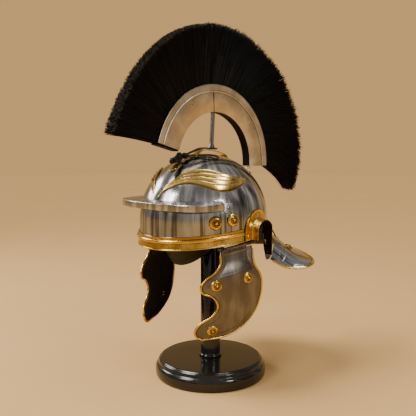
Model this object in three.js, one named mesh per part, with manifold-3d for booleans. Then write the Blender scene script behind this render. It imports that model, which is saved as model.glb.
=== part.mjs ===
// Roman legionary helmet with its fore-and-aft plume, on a plain turned stand.
// Millimetres, +Z up. The helmet faces -Y and its left side is +X.
// The origin is on the floor, on the axis of the stand.
import * as THREE from "three";
import { mergeVertices } from "three/addons/utils/BufferGeometryUtils.js";
import Module from "manifold-3d";

const wasm = await Module();
wasm.setup();

// Driving dimensions
const GAP = 0.3; // clearance between touching pieces
const STAND = { baseRadius: 101.6, topRadius: 92.1, height: 32, postRadius: 18, postTop: 399.2 };
const SKULL = { a: 104, b: 121.5, c: 112, y: -15.6, z: 292, wall: 1.6 };
const RIM = { front: 247.4, frontY: -137, rise: 0.1 }; // lower edge of the skull, rising to the back
const EAR = { y: 12.5, z: 275, radius: 20.5, ahead: 94 };
const BAND = { end: 84, height: 22, bead: 14.5 };
const GUARD = { halfWidth: 106, y: -89.4, reach: 60.6, bottom: 315.5, top: 326, power: 0.8 };
const HINGE = { front: [94.9, -70.7, 249.1], length: 73, barrel: 3, pin: 1.4, moving: [9.2, 53.4] };
const CHEEK = { wall: 1.4, edging: 1.8, bendFrom: 53, bendRadius: 182, bulge: 0.195, tuck: 0.0015 };
const CREST = { y: 4.5, z: 386, inner: 91.3, outer: 139.6, bead: 127, half: 10.2, front: 164.5, foot: 379 };
const PLUME = { locks: 34, root: 7.6, tip: 14, notch: 7 };
const LACE = 1.1; // radius of the leather thongs

const DEG = Math.PI / 180;
const V = (x, y, z) => new THREE.Vector3(x, y, z);
const lerp = THREE.MathUtils.lerp;
const smooth = (x, a, b) => THREE.MathUtils.smoothstep(x, a, b);

// Materials
const paint = (color, roughness, metalness) => () =>
  new THREE.MeshStandardMaterial({ color, roughness, metalness, side: THREE.FrontSide });
const steel = paint(0xa9acb0, 0.28, 1);
const crestSteel = paint(0xb9ab92, 0.36, 1);
const brass = paint(0xd2a032, 0.3, 1);
const gilt = paint(0xe2bd6a, 0.3, 1);
const blackWood = paint(0x0c0b0b, 0.18, 0);
const leather = paint(0x15110f, 0.62, 0);
const bristle = paint(0x070707, 0.75, 0);

// A closed body from triangles, without the ones that have shrunk to a line
function body(points, faces) {
  const keyOf = (p) => p.toArray().map((n) => Math.round(n * 500)).join();
  const index = new Map();
  const position = [];
  const number = points.map((p) => {
    const key = keyOf(p);
    if (!index.has(key)) {
      index.set(key, position.length / 3);
      position.push(p.x, p.y, p.z);
    }
    return index.get(key);
  });
  const list = [];
  for (const [a, b, c] of faces) {
    const t = [number[a], number[b], number[c]];
    if (t[0] !== t[1] && t[1] !== t[2] && t[2] !== t[0]) list.push(...t);
  }
  const geometry = new THREE.BufferGeometry();
  geometry.setAttribute("position", new THREE.Float32BufferAttribute(position, 3));
  geometry.setIndex(list);
  return outward(geometry);
}

// Turns the faces round if the body is inside out
function outward(geometry) {
  const p = geometry.getAttribute("position");
  const t = geometry.index.array;
  let volume = 0;
  for (let i = 0; i < t.length; i += 3) {
    const [a, b, c] = [0, 1, 2].map((k) => V().fromBufferAttribute(p, t[i + k]));
    volume += a.dot(b.cross(c));
  }
  if (volume < 0) {
    for (let i = 0; i < t.length; i += 3) [t[i + 1], t[i + 2]] = [t[i + 2], t[i + 1]];
  }
  geometry.computeVertexNormals();
  return geometry;
}

// A wall between two grids of points, rows by columns, closed along its open edges.
// A ring of columns is closed on itself when round is true.
function wall(outer, inner, round = false) {
  const rows = outer.length;
  const cols = outer[0].length;
  const points = [...outer.flat(), ...inner.flat()];
  const at = (i, j, side) => side * rows * cols + i * cols + (j % cols);
  const faces = [];
  const quad = (a, b, c, d) => faces.push([a, b, c], [a, c, d]);
  const lastCol = round ? cols : cols - 1;
  for (let i = 0; i < rows - 1; i++) {
    for (let j = 0; j < lastCol; j++) {
      quad(at(i, j, 0), at(i, j + 1, 0), at(i + 1, j + 1, 0), at(i + 1, j, 0));
      quad(at(i, j, 1), at(i + 1, j, 1), at(i + 1, j + 1, 1), at(i, j + 1, 1));
    }
  }
  for (let j = 0; j < lastCol; j++) {
    quad(at(0, j, 0), at(0, j, 1), at(0, j + 1, 1), at(0, j + 1, 0));
    quad(at(rows - 1, j, 0), at(rows - 1, j + 1, 0), at(rows - 1, j + 1, 1), at(rows - 1, j, 1));
  }
  if (!round) {
    for (let i = 0; i < rows - 1; i++) {
      quad(at(i, 0, 0), at(i + 1, 0, 0), at(i + 1, 0, 1), at(i, 0, 1));
      quad(at(i, cols - 1, 0), at(i, cols - 1, 1), at(i + 1, cols - 1, 1), at(i + 1, cols - 1, 0));
    }
  }
  return body(points, faces);
}

// A bar through a row of sections, each a ring of points in the same order
function loft(sections, closed = false) {
  const n = sections[0].length;
  const points = sections.flat();
  const faces = [];
  const last = closed ? sections.length : sections.length - 1;
  for (let i = 0; i < last; i++) {
    const next = (i + 1) % sections.length;
    for (let j = 0; j < n; j++) {
      const k = (j + 1) % n;
      faces.push([i * n + j, i * n + k, next * n + k], [i * n + j, next * n + k, next * n + j]);
    }
  }
  if (!closed) {
    const middle = (ring) => ring.reduce((sum, p) => sum.add(p), V()).divideScalar(n);
    points.push(middle(sections[0]), middle(sections[sections.length - 1]));
    for (let j = 0; j < n; j++) {
      const k = (j + 1) % n;
      const base = (sections.length - 1) * n;
      faces.push([points.length - 2, k, j], [points.length - 1, base + j, base + k]);
    }
  }
  return body(points, faces);
}

// A round or squarish bar along a line of points
function rod(line, radius, sides, closed = false) {
  const n = line.length;
  const sections = line.map((p, i) => {
    const before = line[closed ? (i + n - 1) % n : Math.max(i - 1, 0)];
    const after = line[closed ? (i + 1) % n : Math.min(i + 1, n - 1)];
    return { p, along: after.clone().sub(before).normalize() };
  });
  let side = V(0, 0, 1).cross(sections[0].along);
  if (side.length() < 0.1) side = V(1, 0, 0);
  return loft(
    sections.map(({ p, along }) => {
      side = side.sub(along.clone().multiplyScalar(side.dot(along))).normalize();
      const up = along.clone().cross(side);
      return Array.from({ length: sides }, (_, k) => {
        const t = ((k + 0.5) / sides) * 2 * Math.PI;
        return p.clone().addScaledVector(side, radius * Math.cos(t)).addScaledVector(up, radius * Math.sin(t));
      });
    }),
    closed,
  );
}

const curve = (points, count, closed = false) => {
  const line = new THREE.CatmullRomCurve3(points.map((p) => V(...p)), closed, "centripetal").getSpacedPoints(count);
  return closed ? line.slice(0, -1) : line;
};

// Joins and cuts
function solid(geometry) {
  const bare = geometry.clone();
  bare.deleteAttribute("normal");
  bare.deleteAttribute("uv");
  const merged = mergeVertices(bare, 1e-3);
  const mesh = new wasm.Mesh({
    numProp: 3,
    vertProperties: new Float32Array(merged.getAttribute("position").array),
    triVerts: new Uint32Array(merged.index.array),
  });
  return new wasm.Manifold(mesh);
}

function shape(manifold) {
  const mesh = manifold.getMesh();
  const geometry = new THREE.BufferGeometry();
  geometry.setAttribute("position", new THREE.BufferAttribute(new Float32Array(mesh.vertProperties), 3));
  geometry.setIndex(new THREE.BufferAttribute(new Uint32Array(mesh.triVerts), 1));
  geometry.computeVertexNormals();
  return geometry;
}

const join = (...parts) => shape(parts.map(solid).reduce((all, next) => all.add(next)));
const cut = (whole, ...tools) => shape(tools.map(solid).reduce((rest, tool) => rest.subtract(tool), solid(whole)));

// The same piece on the other side of the helmet
function mirror(geometry) {
  const copy = geometry.clone();
  copy.scale(-1, 1, 1);
  if (!copy.index) return outward(mergeVertices(copy));
  return outward(copy);
}

// The skull's outer face at a bearing from the front, in degrees, and a height,
// moved out by a distance
function onSkull(bearing, z, off = 0) {
  const up = Math.max(z - SKULL.z, 0) / (SKULL.c + off);
  const k = Math.sqrt(Math.max(1 - up * up, 0));
  const flare = z < SKULL.z ? 0.8 * ((SKULL.z - z) / 44) ** 2 : 0;
  const a = (SKULL.a + off) * k + flare;
  const b = (SKULL.b + off) * k + flare;
  return V(a * Math.sin(bearing * DEG), SKULL.y - b * Math.cos(bearing * DEG), z);
}

// The same face found from a place seen from the side or from above
const bearingAt = (y, z, off = 0) => {
  const up = Math.max(z - SKULL.z, 0) / (SKULL.c + off);
  const b = (SKULL.b + off) * Math.sqrt(Math.max(1 - up * up, 0));
  return Math.acos(THREE.MathUtils.clamp((SKULL.y - y) / b, -1, 1)) / DEG;
};
const skullHeight = (x, y, off = 0) => {
  const flat = (x / (SKULL.a + off)) ** 2 + ((y - SKULL.y) / (SKULL.b + off)) ** 2;
  return SKULL.z + (SKULL.c + off) * Math.sqrt(Math.max(1 - flat, 0));
};
const skullNormal = (p) => {
  const high = Math.max(p.z - SKULL.z, 0) / SKULL.c ** 2;
  return V(p.x / SKULL.a ** 2, (p.y - SKULL.y) / SKULL.b ** 2, high).normalize();
};
const rimHeight = (y) => RIM.front + RIM.rise * (y - RIM.frontY);

// The nape: lower edge of the skull behind the ears and how far it flares, by bearing
const NAPE = [
  { bearing: 110, edge: 220, flare: 0 },
  { bearing: 120, edge: 221, flare: 8 },
  { bearing: 130, edge: 240, flare: 10 },
  { bearing: 140, edge: 251, flare: 10 },
  { bearing: 150, edge: 256, flare: 10 },
  { bearing: 180, edge: 258, flare: 10 },
];
const FLARE = [0, 0.02, 0.12, 0.42, 1, 1]; // share of the flare, from the widest height to the edge
function napeAt(bearing) {
  const b = Math.min(bearing, 360 - bearing);
  const i = Math.max(NAPE.findIndex((row) => row.bearing >= b), 1);
  const [from, to] = [NAPE[i - 1], NAPE[i]];
  const t = THREE.MathUtils.clamp((b - from.bearing) / (to.bearing - from.bearing), 0, 1);
  const pick = (name) => lerp(from[name], to[name], t);
  return { edge: pick("edge"), flare: pick("flare") };
}
function napePoint(bearing, z, off) {
  const { edge, flare } = napeAt(bearing);
  const t = THREE.MathUtils.clamp((4 * (SKULL.z - z)) / (SKULL.z - edge), 0, 4);
  const i = Math.floor(t);
  return onSkull(bearing, z, off + flare * lerp(FLARE[i], FLARE[i + 1], t - i));
}

function skullBowl() {
  const rows = 13;
  const split = 8; // rows from the crown to the widest height
  const bearings = Array.from({ length: 36 }, (_, j) => 10 * j);
  const lowEdge = (bearing) => {
    const b = Math.min(bearing, 360 - bearing);
    return b <= 100 ? rimHeight(onSkull(b, SKULL.z).y) : napeAt(b).edge;
  };
  const grid = (off) =>
    Array.from({ length: rows }, (_, i) => bearings.map((b) => {
      if (i <= split) {
        const up = Math.cos((i / split) * 90 * DEG);
        return onSkull(b, SKULL.z + (SKULL.c + off) * up, off);
      }
      const z = lerp(SKULL.z, lowEdge(b), (i - split) / (rows - 1 - split));
      return b > EAR.ahead && b < 360 - EAR.ahead ? napePoint(b, z, off) : onSkull(b, z, off);
    }));
  const opening = earCutter();
  return cut(wall(grid(0), grid(-SKULL.wall), true), opening, mirror(opening));
}

// A prism through the side of the skull, in the outline of the ear opening
function earCutter() {
  const outline = new THREE.Shape();
  const low = EAR.z - 80;
  outline.moveTo(EAR.y - EAR.radius, low);
  outline.lineTo(EAR.y - EAR.radius, EAR.z);
  outline.absarc(EAR.y, EAR.z, EAR.radius, Math.PI, 0, true);
  outline.lineTo(EAR.y + EAR.radius + 9, low);
  outline.closePath();
  const prism = new THREE.ExtrudeGeometry(outline, { depth: 90, bevelEnabled: false, curveSegments: 10 });
  prism.applyMatrix4(new THREE.Matrix4().makeBasis(V(0, 1, 0), V(0, 0, 1), V(1, 0, 0)));
  return prism.translate(60, 0, 0);
}

// Neck guard: its rim from the front corner of the wing to the middle of the back
const NECK_RIM = [
  { x: 130, y: 96, z: 201.5 },
  { x: 136, y: 107, z: 203.5 },
  { x: 136.5, y: 121, z: 206.5 },
  { x: 121, y: 143.5, z: 208.8 },
  { x: 97, y: 164.5, z: 210 },
  { x: 58, y: 186, z: 212.4 },
  { x: 0, y: 198, z: 218.5 },
];
const NECK = { wall: 1.5, from: 119, sag: 5.5, steps: 12, across: 3, edging: 2 };

// A point of the neck guard, u from the left wing's front edge to the right one's, v outwards
function neckPoint(u, v, drop = 0) {
  const half = Math.min(u, 1 - u) * 2;
  const side = u <= 0.5 ? 1 : -1;
  const rim = neckRim.getPointAt(THREE.MathUtils.clamp(half, 0, 1));
  const bearing = lerp(NECK.from, 180, half);
  const root = napePoint(bearing, napeAt(bearing).edge, GAP + 0.8);
  const p = root.clone().lerp(rim, v);
  p.z -= NECK.sag * Math.sin(v * Math.PI) + drop;
  p.x *= side;
  return p;
}
const neckRim = new THREE.CatmullRomCurve3(NECK_RIM.map((row) => V(row.x, row.y, row.z)), false, "centripetal");

function neckGuard() {
  const grid = (drop) =>
    Array.from({ length: NECK.across + 1 }, (_, i) =>
      Array.from({ length: 2 * NECK.steps + 1 }, (_, j) =>
        neckPoint(j / (2 * NECK.steps), i / NECK.across, drop)));
  return wall(grid(0), grid(NECK.wall));
}

function neckEdging() {
  const { wall: sheet, edging, steps } = NECK;
  const edge = (u, v) => neckPoint(u, v, sheet / 2);
  const side = [0.12, 0.5, 0.85];
  const round = Array.from({ length: 2 * steps + 1 }, (_, j) => edge(j / (2 * steps), 1));
  const line = [...side.map((v) => edge(0, v)), ...round, ...side.reverse().map((v) => edge(1, v))];
  const last = line.length - 1;
  return rod(line.map((p, i) => {
    const along = line[Math.min(i + 1, last)].clone().sub(line[Math.max(i - 1, 0)]).setZ(0).normalize();
    return V(p.x + along.y * (edging + GAP + 0.3), p.y - along.x * (edging + GAP + 0.3), p.z);
  }), edging, 4);
}

// Brass band with its half-round bead round the front of the rim
function frontBand() {
  const steps = 26;
  const section = [
    { off: GAP + 0.22, up: 0 },
    { off: 2.2, up: 0 },
    { off: 1.8, up: BAND.bead - 3.4 },
    { off: 4.4, up: BAND.bead - 2 },
    { off: 5, up: BAND.bead },
    { off: 4.4, up: BAND.bead + 2 },
    { off: 1.8, up: BAND.bead + 3.4 },
    { off: 1.6, up: BAND.height },
    { off: GAP + 0.22, up: BAND.height },
  ];
  return loft(Array.from({ length: steps + 1 }, (_, i) => {
    const b = lerp(-BAND.end, BAND.end, i / steps);
    const low = rimHeight(onSkull(b, SKULL.z).y) + 0.4;
    return section.map(({ off, up }) => onSkull(b, low + up, off));
  }));
}

// Brow guard: a steel angle bar round the front, with a leg back to a tab on each side
function browGuard() {
  const bend = (x) => Math.sign(x) * Math.abs(x) ** GUARD.power;
  const half = [];
  for (const bearing of [73.5, 70, 66.5]) half.push({ bearing, tab: true });
  half.push({ out: V(104.6, -72, 0) });
  for (let t = 90; t >= 7.5; t -= 7.5) {
    const turn = t * DEG;
    half.push({ out: V(GUARD.halfWidth * bend(Math.sin(turn)), GUARD.y - GUARD.reach * bend(Math.cos(turn)), 0) });
  }
  const flip = ({ bearing, tab, out }) => (tab ? { bearing: -bearing, tab } : { out: V(-out.x, out.y, 0) });
  const front = { out: V(0, GUARD.y - GUARD.reach, 0) };
  const stations = [...half, front, ...half.map(flip).reverse()];
  return loft(stations.map(({ bearing, tab, out }) => {
    const { bottom, top } = GUARD;
    if (tab) {
      const at = (z, off) => onSkull(bearing, z, off);
      const low = 308.5;
      return [at(low, 2.1), at(top, 2.1), at(top + 0.2, 1.4), at(top + 0.1, 0.7), at(top - 1, 0.6), at(low, 0.6)];
    }
    const inward = V(out.x, out.y - SKULL.y, 0).normalize().multiplyScalar(-1.8);
    const seat = (z) => onSkull(bearingOf(out), z, GAP + 0.4);
    const face = (z, inset = 0) => out.clone().setZ(z).addScaledVector(inward, inset);
    return [face(bottom), face(top), seat(top + 3), seat(top + 1.2), face(top - 1.8, 1), face(bottom, 1)];
  }));
}
const bearingOf = (p) => Math.atan2(p.x / SKULL.a, -(p.y - SKULL.y) / SKULL.b) / DEG;

// Embossed brow: a wing of long feathers that starts beside the middle and sweeps back
const BROW = [
  { y: -129, xLow: 4, xTop: 2, spread: 0.1 },
  { y: -122, xLow: 17, xTop: 10, spread: 0.2 },
  { y: -112, xLow: 31, xTop: 20, spread: 0.5 },
  { y: -100, xLow: 46, xTop: 27, spread: 0.8 },
  { y: -85, xLow: 65, xTop: 36, spread: 1 },
  { y: -70, xLow: 79, xTop: 48, spread: 1 },
  { y: -52, xLow: 87.5, xTop: 64, spread: 1 },
  { y: -34, xLow: 90.5, xTop: 76, spread: 1 },
  { y: -16, xLow: 89, xTop: 81, spread: 0.8 },
  { y: 2, xLow: 83.5, xTop: 81, spread: 0.3 },
];
function eyebrow() {
  const feathers = 4;
  const across = 2 * feathers;
  const row = (name) => new THREE.CatmullRomCurve3(BROW.map((r) => V(r[name], r.y, r.spread)), false, "centripetal");
  const [low, top] = [row("xLow"), row("xTop")];
  const steps = 10;
  const grid = (raised) =>
    Array.from({ length: steps + 1 }, (_, i) => Array.from({ length: across + 1 }, (_, j) => {
      const [a, b] = [low.getPoint(i / steps), top.getPoint(i / steps)];
      const p = a.clone().lerp(b, j / across);
      const ridge = j % 2 === 1 ? 1 : 0.25;
      const height = raised ? 0.9 + 2.4 * ridge * p.z : 0;
      return V(p.x, p.y, 0).setZ(skullHeight(p.x, p.y, GAP + 0.35 + height));
    }));
  return wall(grid(true), grid(false));
}

// Brass keeper on the crown, a low bridge that the crest post stands on
const KEEPER = { from: -44, to: 46, half: 7, rise: 5.4, thick: 1.3 };
const keeperLow = (y) => {
  const rise = KEEPER.rise * smooth(y, KEEPER.from + 6, KEEPER.from + 22) * (1 - smooth(y, KEEPER.to - 14, KEEPER.to - 3));
  return skullHeight(0, y, GAP + 0.2) + rise;
};
function crownKeeper() {
  return loft(Array.from({ length: 13 }, (_, i) => {
    const y = lerp(KEEPER.from, KEEPER.to, i / 12);
    const low = keeperLow(y);
    const { half, thick } = KEEPER;
    return [V(-half, y, low), V(half, y, low), V(half, y, low + thick), V(-half, y, low + thick)];
  }));
}

// Brass eyelet plate in front of the crown, where the crest is tied down
function eyelet() {
  const normal = skullNormal(V(0, -88, skullHeight(0, -88)));
  const outline = new THREE.Shape();
  outline.moveTo(-7, -9);
  outline.lineTo(7, -9);
  outline.lineTo(7, 6);
  outline.absarc(0, 6, 7, 0, Math.PI, false);
  outline.closePath();
  const hole = new THREE.Path();
  hole.absarc(0, 5.5, 2.6, 0, 2 * Math.PI, true);
  outline.holes.push(hole);
  const plate = new THREE.ExtrudeGeometry(outline, { depth: 1.4, bevelEnabled: false, curveSegments: 6 });
  const across = V(1, 0, 0);
  const forward = across.clone().cross(normal).normalize();
  const seat = V(3, -87, skullHeight(3, -87, GAP - 0.1));
  const basis = new THREE.Matrix4().makeBasis(across.negate(), forward, normal);
  plate.applyMatrix4(basis);
  return plate.translate(seat.x, seat.y, seat.z);
}

// Ear guard: a flange on the skull round the ear opening and an arch that stands out from it
const EAR_PROFILE = [
  { radius: 35.5, x: "skull", off: 0.8, rear: 0.45 },
  { radius: 24, x: "skull", off: 0.9, rear: 0.5 },
  { radius: 20.9, x: "skull", off: 2.2, rear: 1 },
  { radius: 19.6, x: 112, off: 0, rear: 1 },
  { radius: 18.6, x: 119.5, off: 0, rear: 1 },
];
function earGuard() {
  const thickness = 1.2;
  const legs = [-1, -0.5];
  const arch = Array.from({ length: 11 }, (_, i) => i / 10);
  const stations = [...legs, ...arch, 1.4, 1.8];
  const point = (t, row, out) => {
    const r = row.radius + out * 0.5;
    const turn = Math.PI * (1 - THREE.MathUtils.clamp(t, 0, 1));
    let y = EAR.y + r * Math.cos(turn);
    let z = EAR.z + r * Math.sin(turn);
    if (t < 0) z = lerp(EAR.z, rimHeight(y) + 0.6, -t);
    if (t > 1) {
      const down = (t - 1) / 0.8;
      z = lerp(EAR.z, 229, down);
      y += 9 * down * row.rear - (row.radius > 22 ? 6 * down : 0);
    }
    const back = THREE.MathUtils.clamp(t - 0.85, 0, 1);
    const off = row.off + out * thickness + 0.9 * THREE.MathUtils.clamp(t - 0.6, 0, 0.7);
    const seat = () => {
      const bearing = bearingAt(y, z, off);
      return (bearing > EAR.ahead ? napePoint(bearing, z, off) : onSkull(bearing, z, off)).x;
    };
    const x = row.x === "skull" ? seat() : row.x - 9 * back;
    return V(x, y, z);
  };
  const grid = (out) => stations.map((t) => EAR_PROFILE.map((row) => point(t, row, out)));
  return wall(grid(1), grid(0));
}

// Domed rosette with a collar and a stud, its back flat
const ROSETTE = [
  { r: 1, h: 0 },
  { r: 0.72, h: 0.34 },
  { r: 0.42, h: 0.4 },
  { r: 0.28, h: 0.6 },
];
function rosette(at, normal, radius) {
  const sides = 8;
  const profile = [V(0, 0, 0), ...ROSETTE.map(({ r, h }) => V(r * radius, h * radius, 0)), V(0, radius * 0.66, 0)];
  const dome = new THREE.LatheGeometry(profile.map((p) => new THREE.Vector2(p.x, p.y)), sides);
  const turn = new THREE.Quaternion().setFromUnitVectors(V(0, 1, 0), normal);
  dome.applyQuaternion(turn).translate(at.x, at.y, at.z);
  return dome;
}
function neckRosette() {
  const [u, v] = [0.215, 0.45];
  const at = neckPoint(u, v);
  const normal = neckPoint(u + 0.03, v).sub(at).cross(neckPoint(u, v + 0.1).sub(at)).normalize();
  if (normal.z < 0) normal.negate();
  return rosette(at.addScaledVector(normal, GAP + 0.8), normal, 8.2);
}
const rivet = (at, normal, radius) => {
  const head = new THREE.LatheGeometry(
    [[0, 0], [1, 0], [0.75, 0.5], [0, 0.6]].map(([r, h]) => new THREE.Vector2(r * radius, h * radius)), 6);
  head.applyQuaternion(new THREE.Quaternion().setFromUnitVectors(V(0, 1, 0), normal));
  return head.translate(at.x, at.y, at.z);
};

// Hinge frame: along the barrel to the back, outwards, and up
const hingeAlong = V(0.136, 0.985, 0.102).normalize();
const hingeStart = V(...HINGE.front);
const hingeOut = hingeAlong.clone().cross(V(0, 0, 1)).normalize();
const onHinge = (s, out = 0, up = 0) =>
  hingeStart.clone().addScaledVector(hingeAlong, s).addScaledVector(hingeOut, out).add(V(0, 0, up));

// Cheek guard: front and rear edges by height, as distances along the hinge
const CHEEK_FRONT = [
  { z: 244.6, s: 1 },
  { z: 226, s: 0 },
  { z: 212, s: -11 },
  { z: 203, s: -24 },
  { z: 189, s: -33 },
  { z: 178, s: -29 },
  { z: 170, s: -13 },
  { z: 156, s: -5 },
  { z: 141, s: -12 },
  { z: 128, s: -31 },
  { z: 113, s: -38 },
  { z: 103, s: -34 },
  { z: 97, s: -24 },
];
const CHEEK_REAR = [
  { z: 251, s: 68.6 },
  { z: 233, s: 67.5 },
  { z: 218, s: 71 },
  { z: 203, s: 81 },
  { z: 187, s: 85.5 },
  { z: 165, s: 83 },
  { z: 140, s: 74 },
  { z: 122, s: 60 },
  { z: 111, s: 45 },
  { z: 103, s: 28 },
  { z: 98.5, s: 12 },
  { z: 97.5, s: 0 },
];
const edgeCurve = (rows) => new THREE.CatmullRomCurve3(rows.map((r) => V(r.s, 0, r.z)), false, "centripetal");
const [cheekFront, cheekRear] = [edgeCurve(CHEEK_FRONT), edgeCurve(CHEEK_REAR)];
const hingeFlat = V(hingeAlong.x, hingeAlong.y, 0).normalize();

// A point of the cheek guard, bent round the face and bulging below the hinge
function cheekPoint(s, z, out = 0) {
  const h = 250 - z;
  const bend = Math.min(s - CHEEK.bendFrom, 0);
  const w = -(bend * bend) / (2 * CHEEK.bendRadius) + CHEEK.bulge * h - CHEEK.tuck * h * h;
  return V(hingeStart.x, hingeStart.y, 0)
    .addScaledVector(hingeFlat, s)
    .addScaledVector(hingeOut, w + out)
    .setZ(z);
}
const cheekNormal = (s, z) => {
  const [a, b] = [cheekPoint(s + 1, z), cheekPoint(s, z - 1)];
  const p = cheekPoint(s, z);
  const n = a.sub(p).cross(b.sub(p)).normalize();
  return n.x < 0 ? n.negate() : n;
};

// The cheek guard's outline moved in by a distance, as pairs from the hinge down
function cheekOutline(inset) {
  const rows = 16;
  const side = (edge, sign) => {
    const line = Array.from({ length: rows + 1 }, (_, i) => edge.getPoint(i / rows));
    return line.map((p, i) => {
      const along = line[Math.min(i + 1, rows)].clone().sub(line[Math.max(i - 1, 0)]).normalize();
      if (i === rows) along.set(0.9 * sign, 0, -0.44);
      return V(p.x - along.z * sign * inset, 0, p.z + along.x * sign * inset);
    });
  };
  return [side(cheekFront, 1), side(cheekRear, -1)];
}

function cheekGuard() {
  const cols = 4;
  const [front, rear] = cheekOutline(2 * CHEEK.edging + GAP);
  const grid = (out) =>
    front.map((a, i) => Array.from({ length: cols + 1 }, (_, j) => {
      const p = a.clone().lerp(rear[i], j / cols);
      return cheekPoint(p.x, p.z, out);
    }));
  const plate = wall(grid(CHEEK.wall / 2), grid(-CHEEK.wall / 2));
  const [from, to] = HINGE.moving;
  const tongue = loft([from, to].map((s) => [
    onHinge(s, -0.7, -2.2), onHinge(s, 0.7, -2.2), onHinge(s, 2.1, -6.4), onHinge(s, 0.1, -6.4)]));
  const barrel = rod([onHinge(from), onHinge(to)], HINGE.barrel, 8);
  const bore = rod([onHinge(from - 3), onHinge(to + 3)], HINGE.pin + GAP + 0.05, 8);
  return cut(join(plate, tongue, barrel), bore);
}

function cheekEdging() {
  const [front, rear] = cheekOutline(CHEEK.edging);
  return rod([...front.slice(1), ...rear.slice(1).reverse()].map((p) => cheekPoint(p.x, p.z)), CHEEK.edging, 4);
}

// Fixed knuckles, each with a foot and a leaf behind the rim
const insideRim = (s) => {
  const p = onHinge(s);
  const inner = -SKULL.wall - GAP - 0.75;
  return onSkull(bearingAt(p.y, 260, inner), 260, inner).sub(p).dot(hingeOut);
};
function hingeBracket(from, to) {
  const knuckle = rod([onHinge(from), onHinge(to)], HINGE.barrel, 8);
  const block = (low, high, outer) => loft([from, (from + to) / 2, to].map((s) => {
    const inner = insideRim(s) - 1.4;
    const out = outer ?? insideRim(s);
    return [onHinge(s, inner, low), onHinge(s, out, low), onHinge(s, out, high), onHinge(s, inner, high)];
  }));
  return join(knuckle, block(-1, 2.4, 0.5), block(-1, 14));
}

// Crest box: side plates in two lengths, a core between them, all arcs about one centre
const crestPoint = (r, angle, x) =>
  V(x, CREST.y + r * Math.cos(angle * DEG), CREST.z + r * Math.sin(angle * DEG));
const crestFoot = (r, foot = CREST.foot) => Math.asin((foot - CREST.z) / r) / DEG;
const SEAM = 93;
function crestPlate(fromFoot) {
  const steps = 10;
  const section = [
    { r: CREST.inner, x: 8.3 },
    { r: CREST.inner, x: 9.5 },
    { r: CREST.bead - 1.6, x: 9.5 },
    { r: CREST.bead, x: CREST.half + 0.7 },
    { r: CREST.bead + 1.6, x: CREST.half },
    { r: CREST.outer, x: CREST.half },
    { r: CREST.outer, x: 8.3 },
  ];
  return loft(Array.from({ length: steps + 1 }, (_, i) => section.map(({ r, x }) => {
    const t = i / steps;
    const angle = fromFoot ? lerp(crestFoot(r), SEAM - 0.25, t) : lerp(SEAM + 0.25, CREST.front, t);
    return crestPoint(r, angle, x);
  })));
}
function crestCore() {
  const steps = 20;
  const section = [
    { r: CREST.inner + 0.8, x: 8 },
    { r: CREST.outer - 0.4, x: 8 },
    { r: CREST.outer - 0.4, x: -8 },
    { r: CREST.inner + 0.8, x: -8 },
  ];
  return loft(Array.from({ length: steps + 1 }, (_, i) => section.map(({ r, x }) =>
    crestPoint(r, lerp(crestFoot(r, CREST.foot + 1), CREST.front + 1.4, i / steps), x))));
}

// Crest post: a flat bar on two small feet
function crestPost() {
  const bottom = V(0, 2, keeperLow(-6) + KEEPER.thick + GAP + 0.05);
  const under = Math.sqrt(CREST.inner ** 2 - 3 ** 2) - 0.4;
  const top = V(0, 6, CREST.z + under);
  const bar = (from, to, y, x) => loft([from, to].map((p) => [
    V(-x, p.y - y, p.z), V(x, p.y - y, p.z), V(x, p.y + y, p.z), V(-x, p.y + y, p.z)]));
  return join(bar(bottom, top, 4, 1.9), bar(bottom, bottom.clone().add(V(0, 0, 3.4)), 8.5, 2.6));
}

// Plume: the outline of the bristle tips by angle about the crest's centre
const TIPS = [
  { angle: -15, r: 238 },
  { angle: -8, r: 247 },
  { angle: 0, r: 252 },
  { angle: 12, r: 256 },
  { angle: 42, r: 256 },
  { angle: 61, r: 251 },
  { angle: 80, r: 249 },
  { angle: 97, r: 245 },
  { angle: 114, r: 239 },
  { angle: 132, r: 232 },
  { angle: 155, r: 229.5 },
  { angle: 167, r: 235 },
];
function plume() {
  const reach = new THREE.CatmullRomCurve3(TIPS.map((row) => V(row.angle, row.r, 0)), false, "centripetal");
  const foot = crestFoot(CREST.outer) + 0.6;
  const steps = 2 * PLUME.locks;
  return loft(Array.from({ length: steps + 1 }, (_, i) => {
    const t = i / steps;
    const tip = reach.getPointAt(t);
    const root = lerp(foot, CREST.front + 0.4, t);
    const lock = i % 2;
    const r = tip.y - (lock ? 0 : PLUME.notch);
    const full = lock ? 1 : 0.8;
    const inner = CREST.outer + GAP;
    const at = (share, half) => crestPoint(lerp(inner, r, share), lerp(root, tip.x, share), half);
    const side = [[0, PLUME.root], [0.45, (PLUME.root + 2.4) * full], [0.93, PLUME.tip * full], [1, 0.55 * PLUME.tip * full]];
    return [...side.map(([share, x]) => at(share, x)), ...side.reverse().map(([share, x]) => at(share, -x))];
  }));
}

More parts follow.
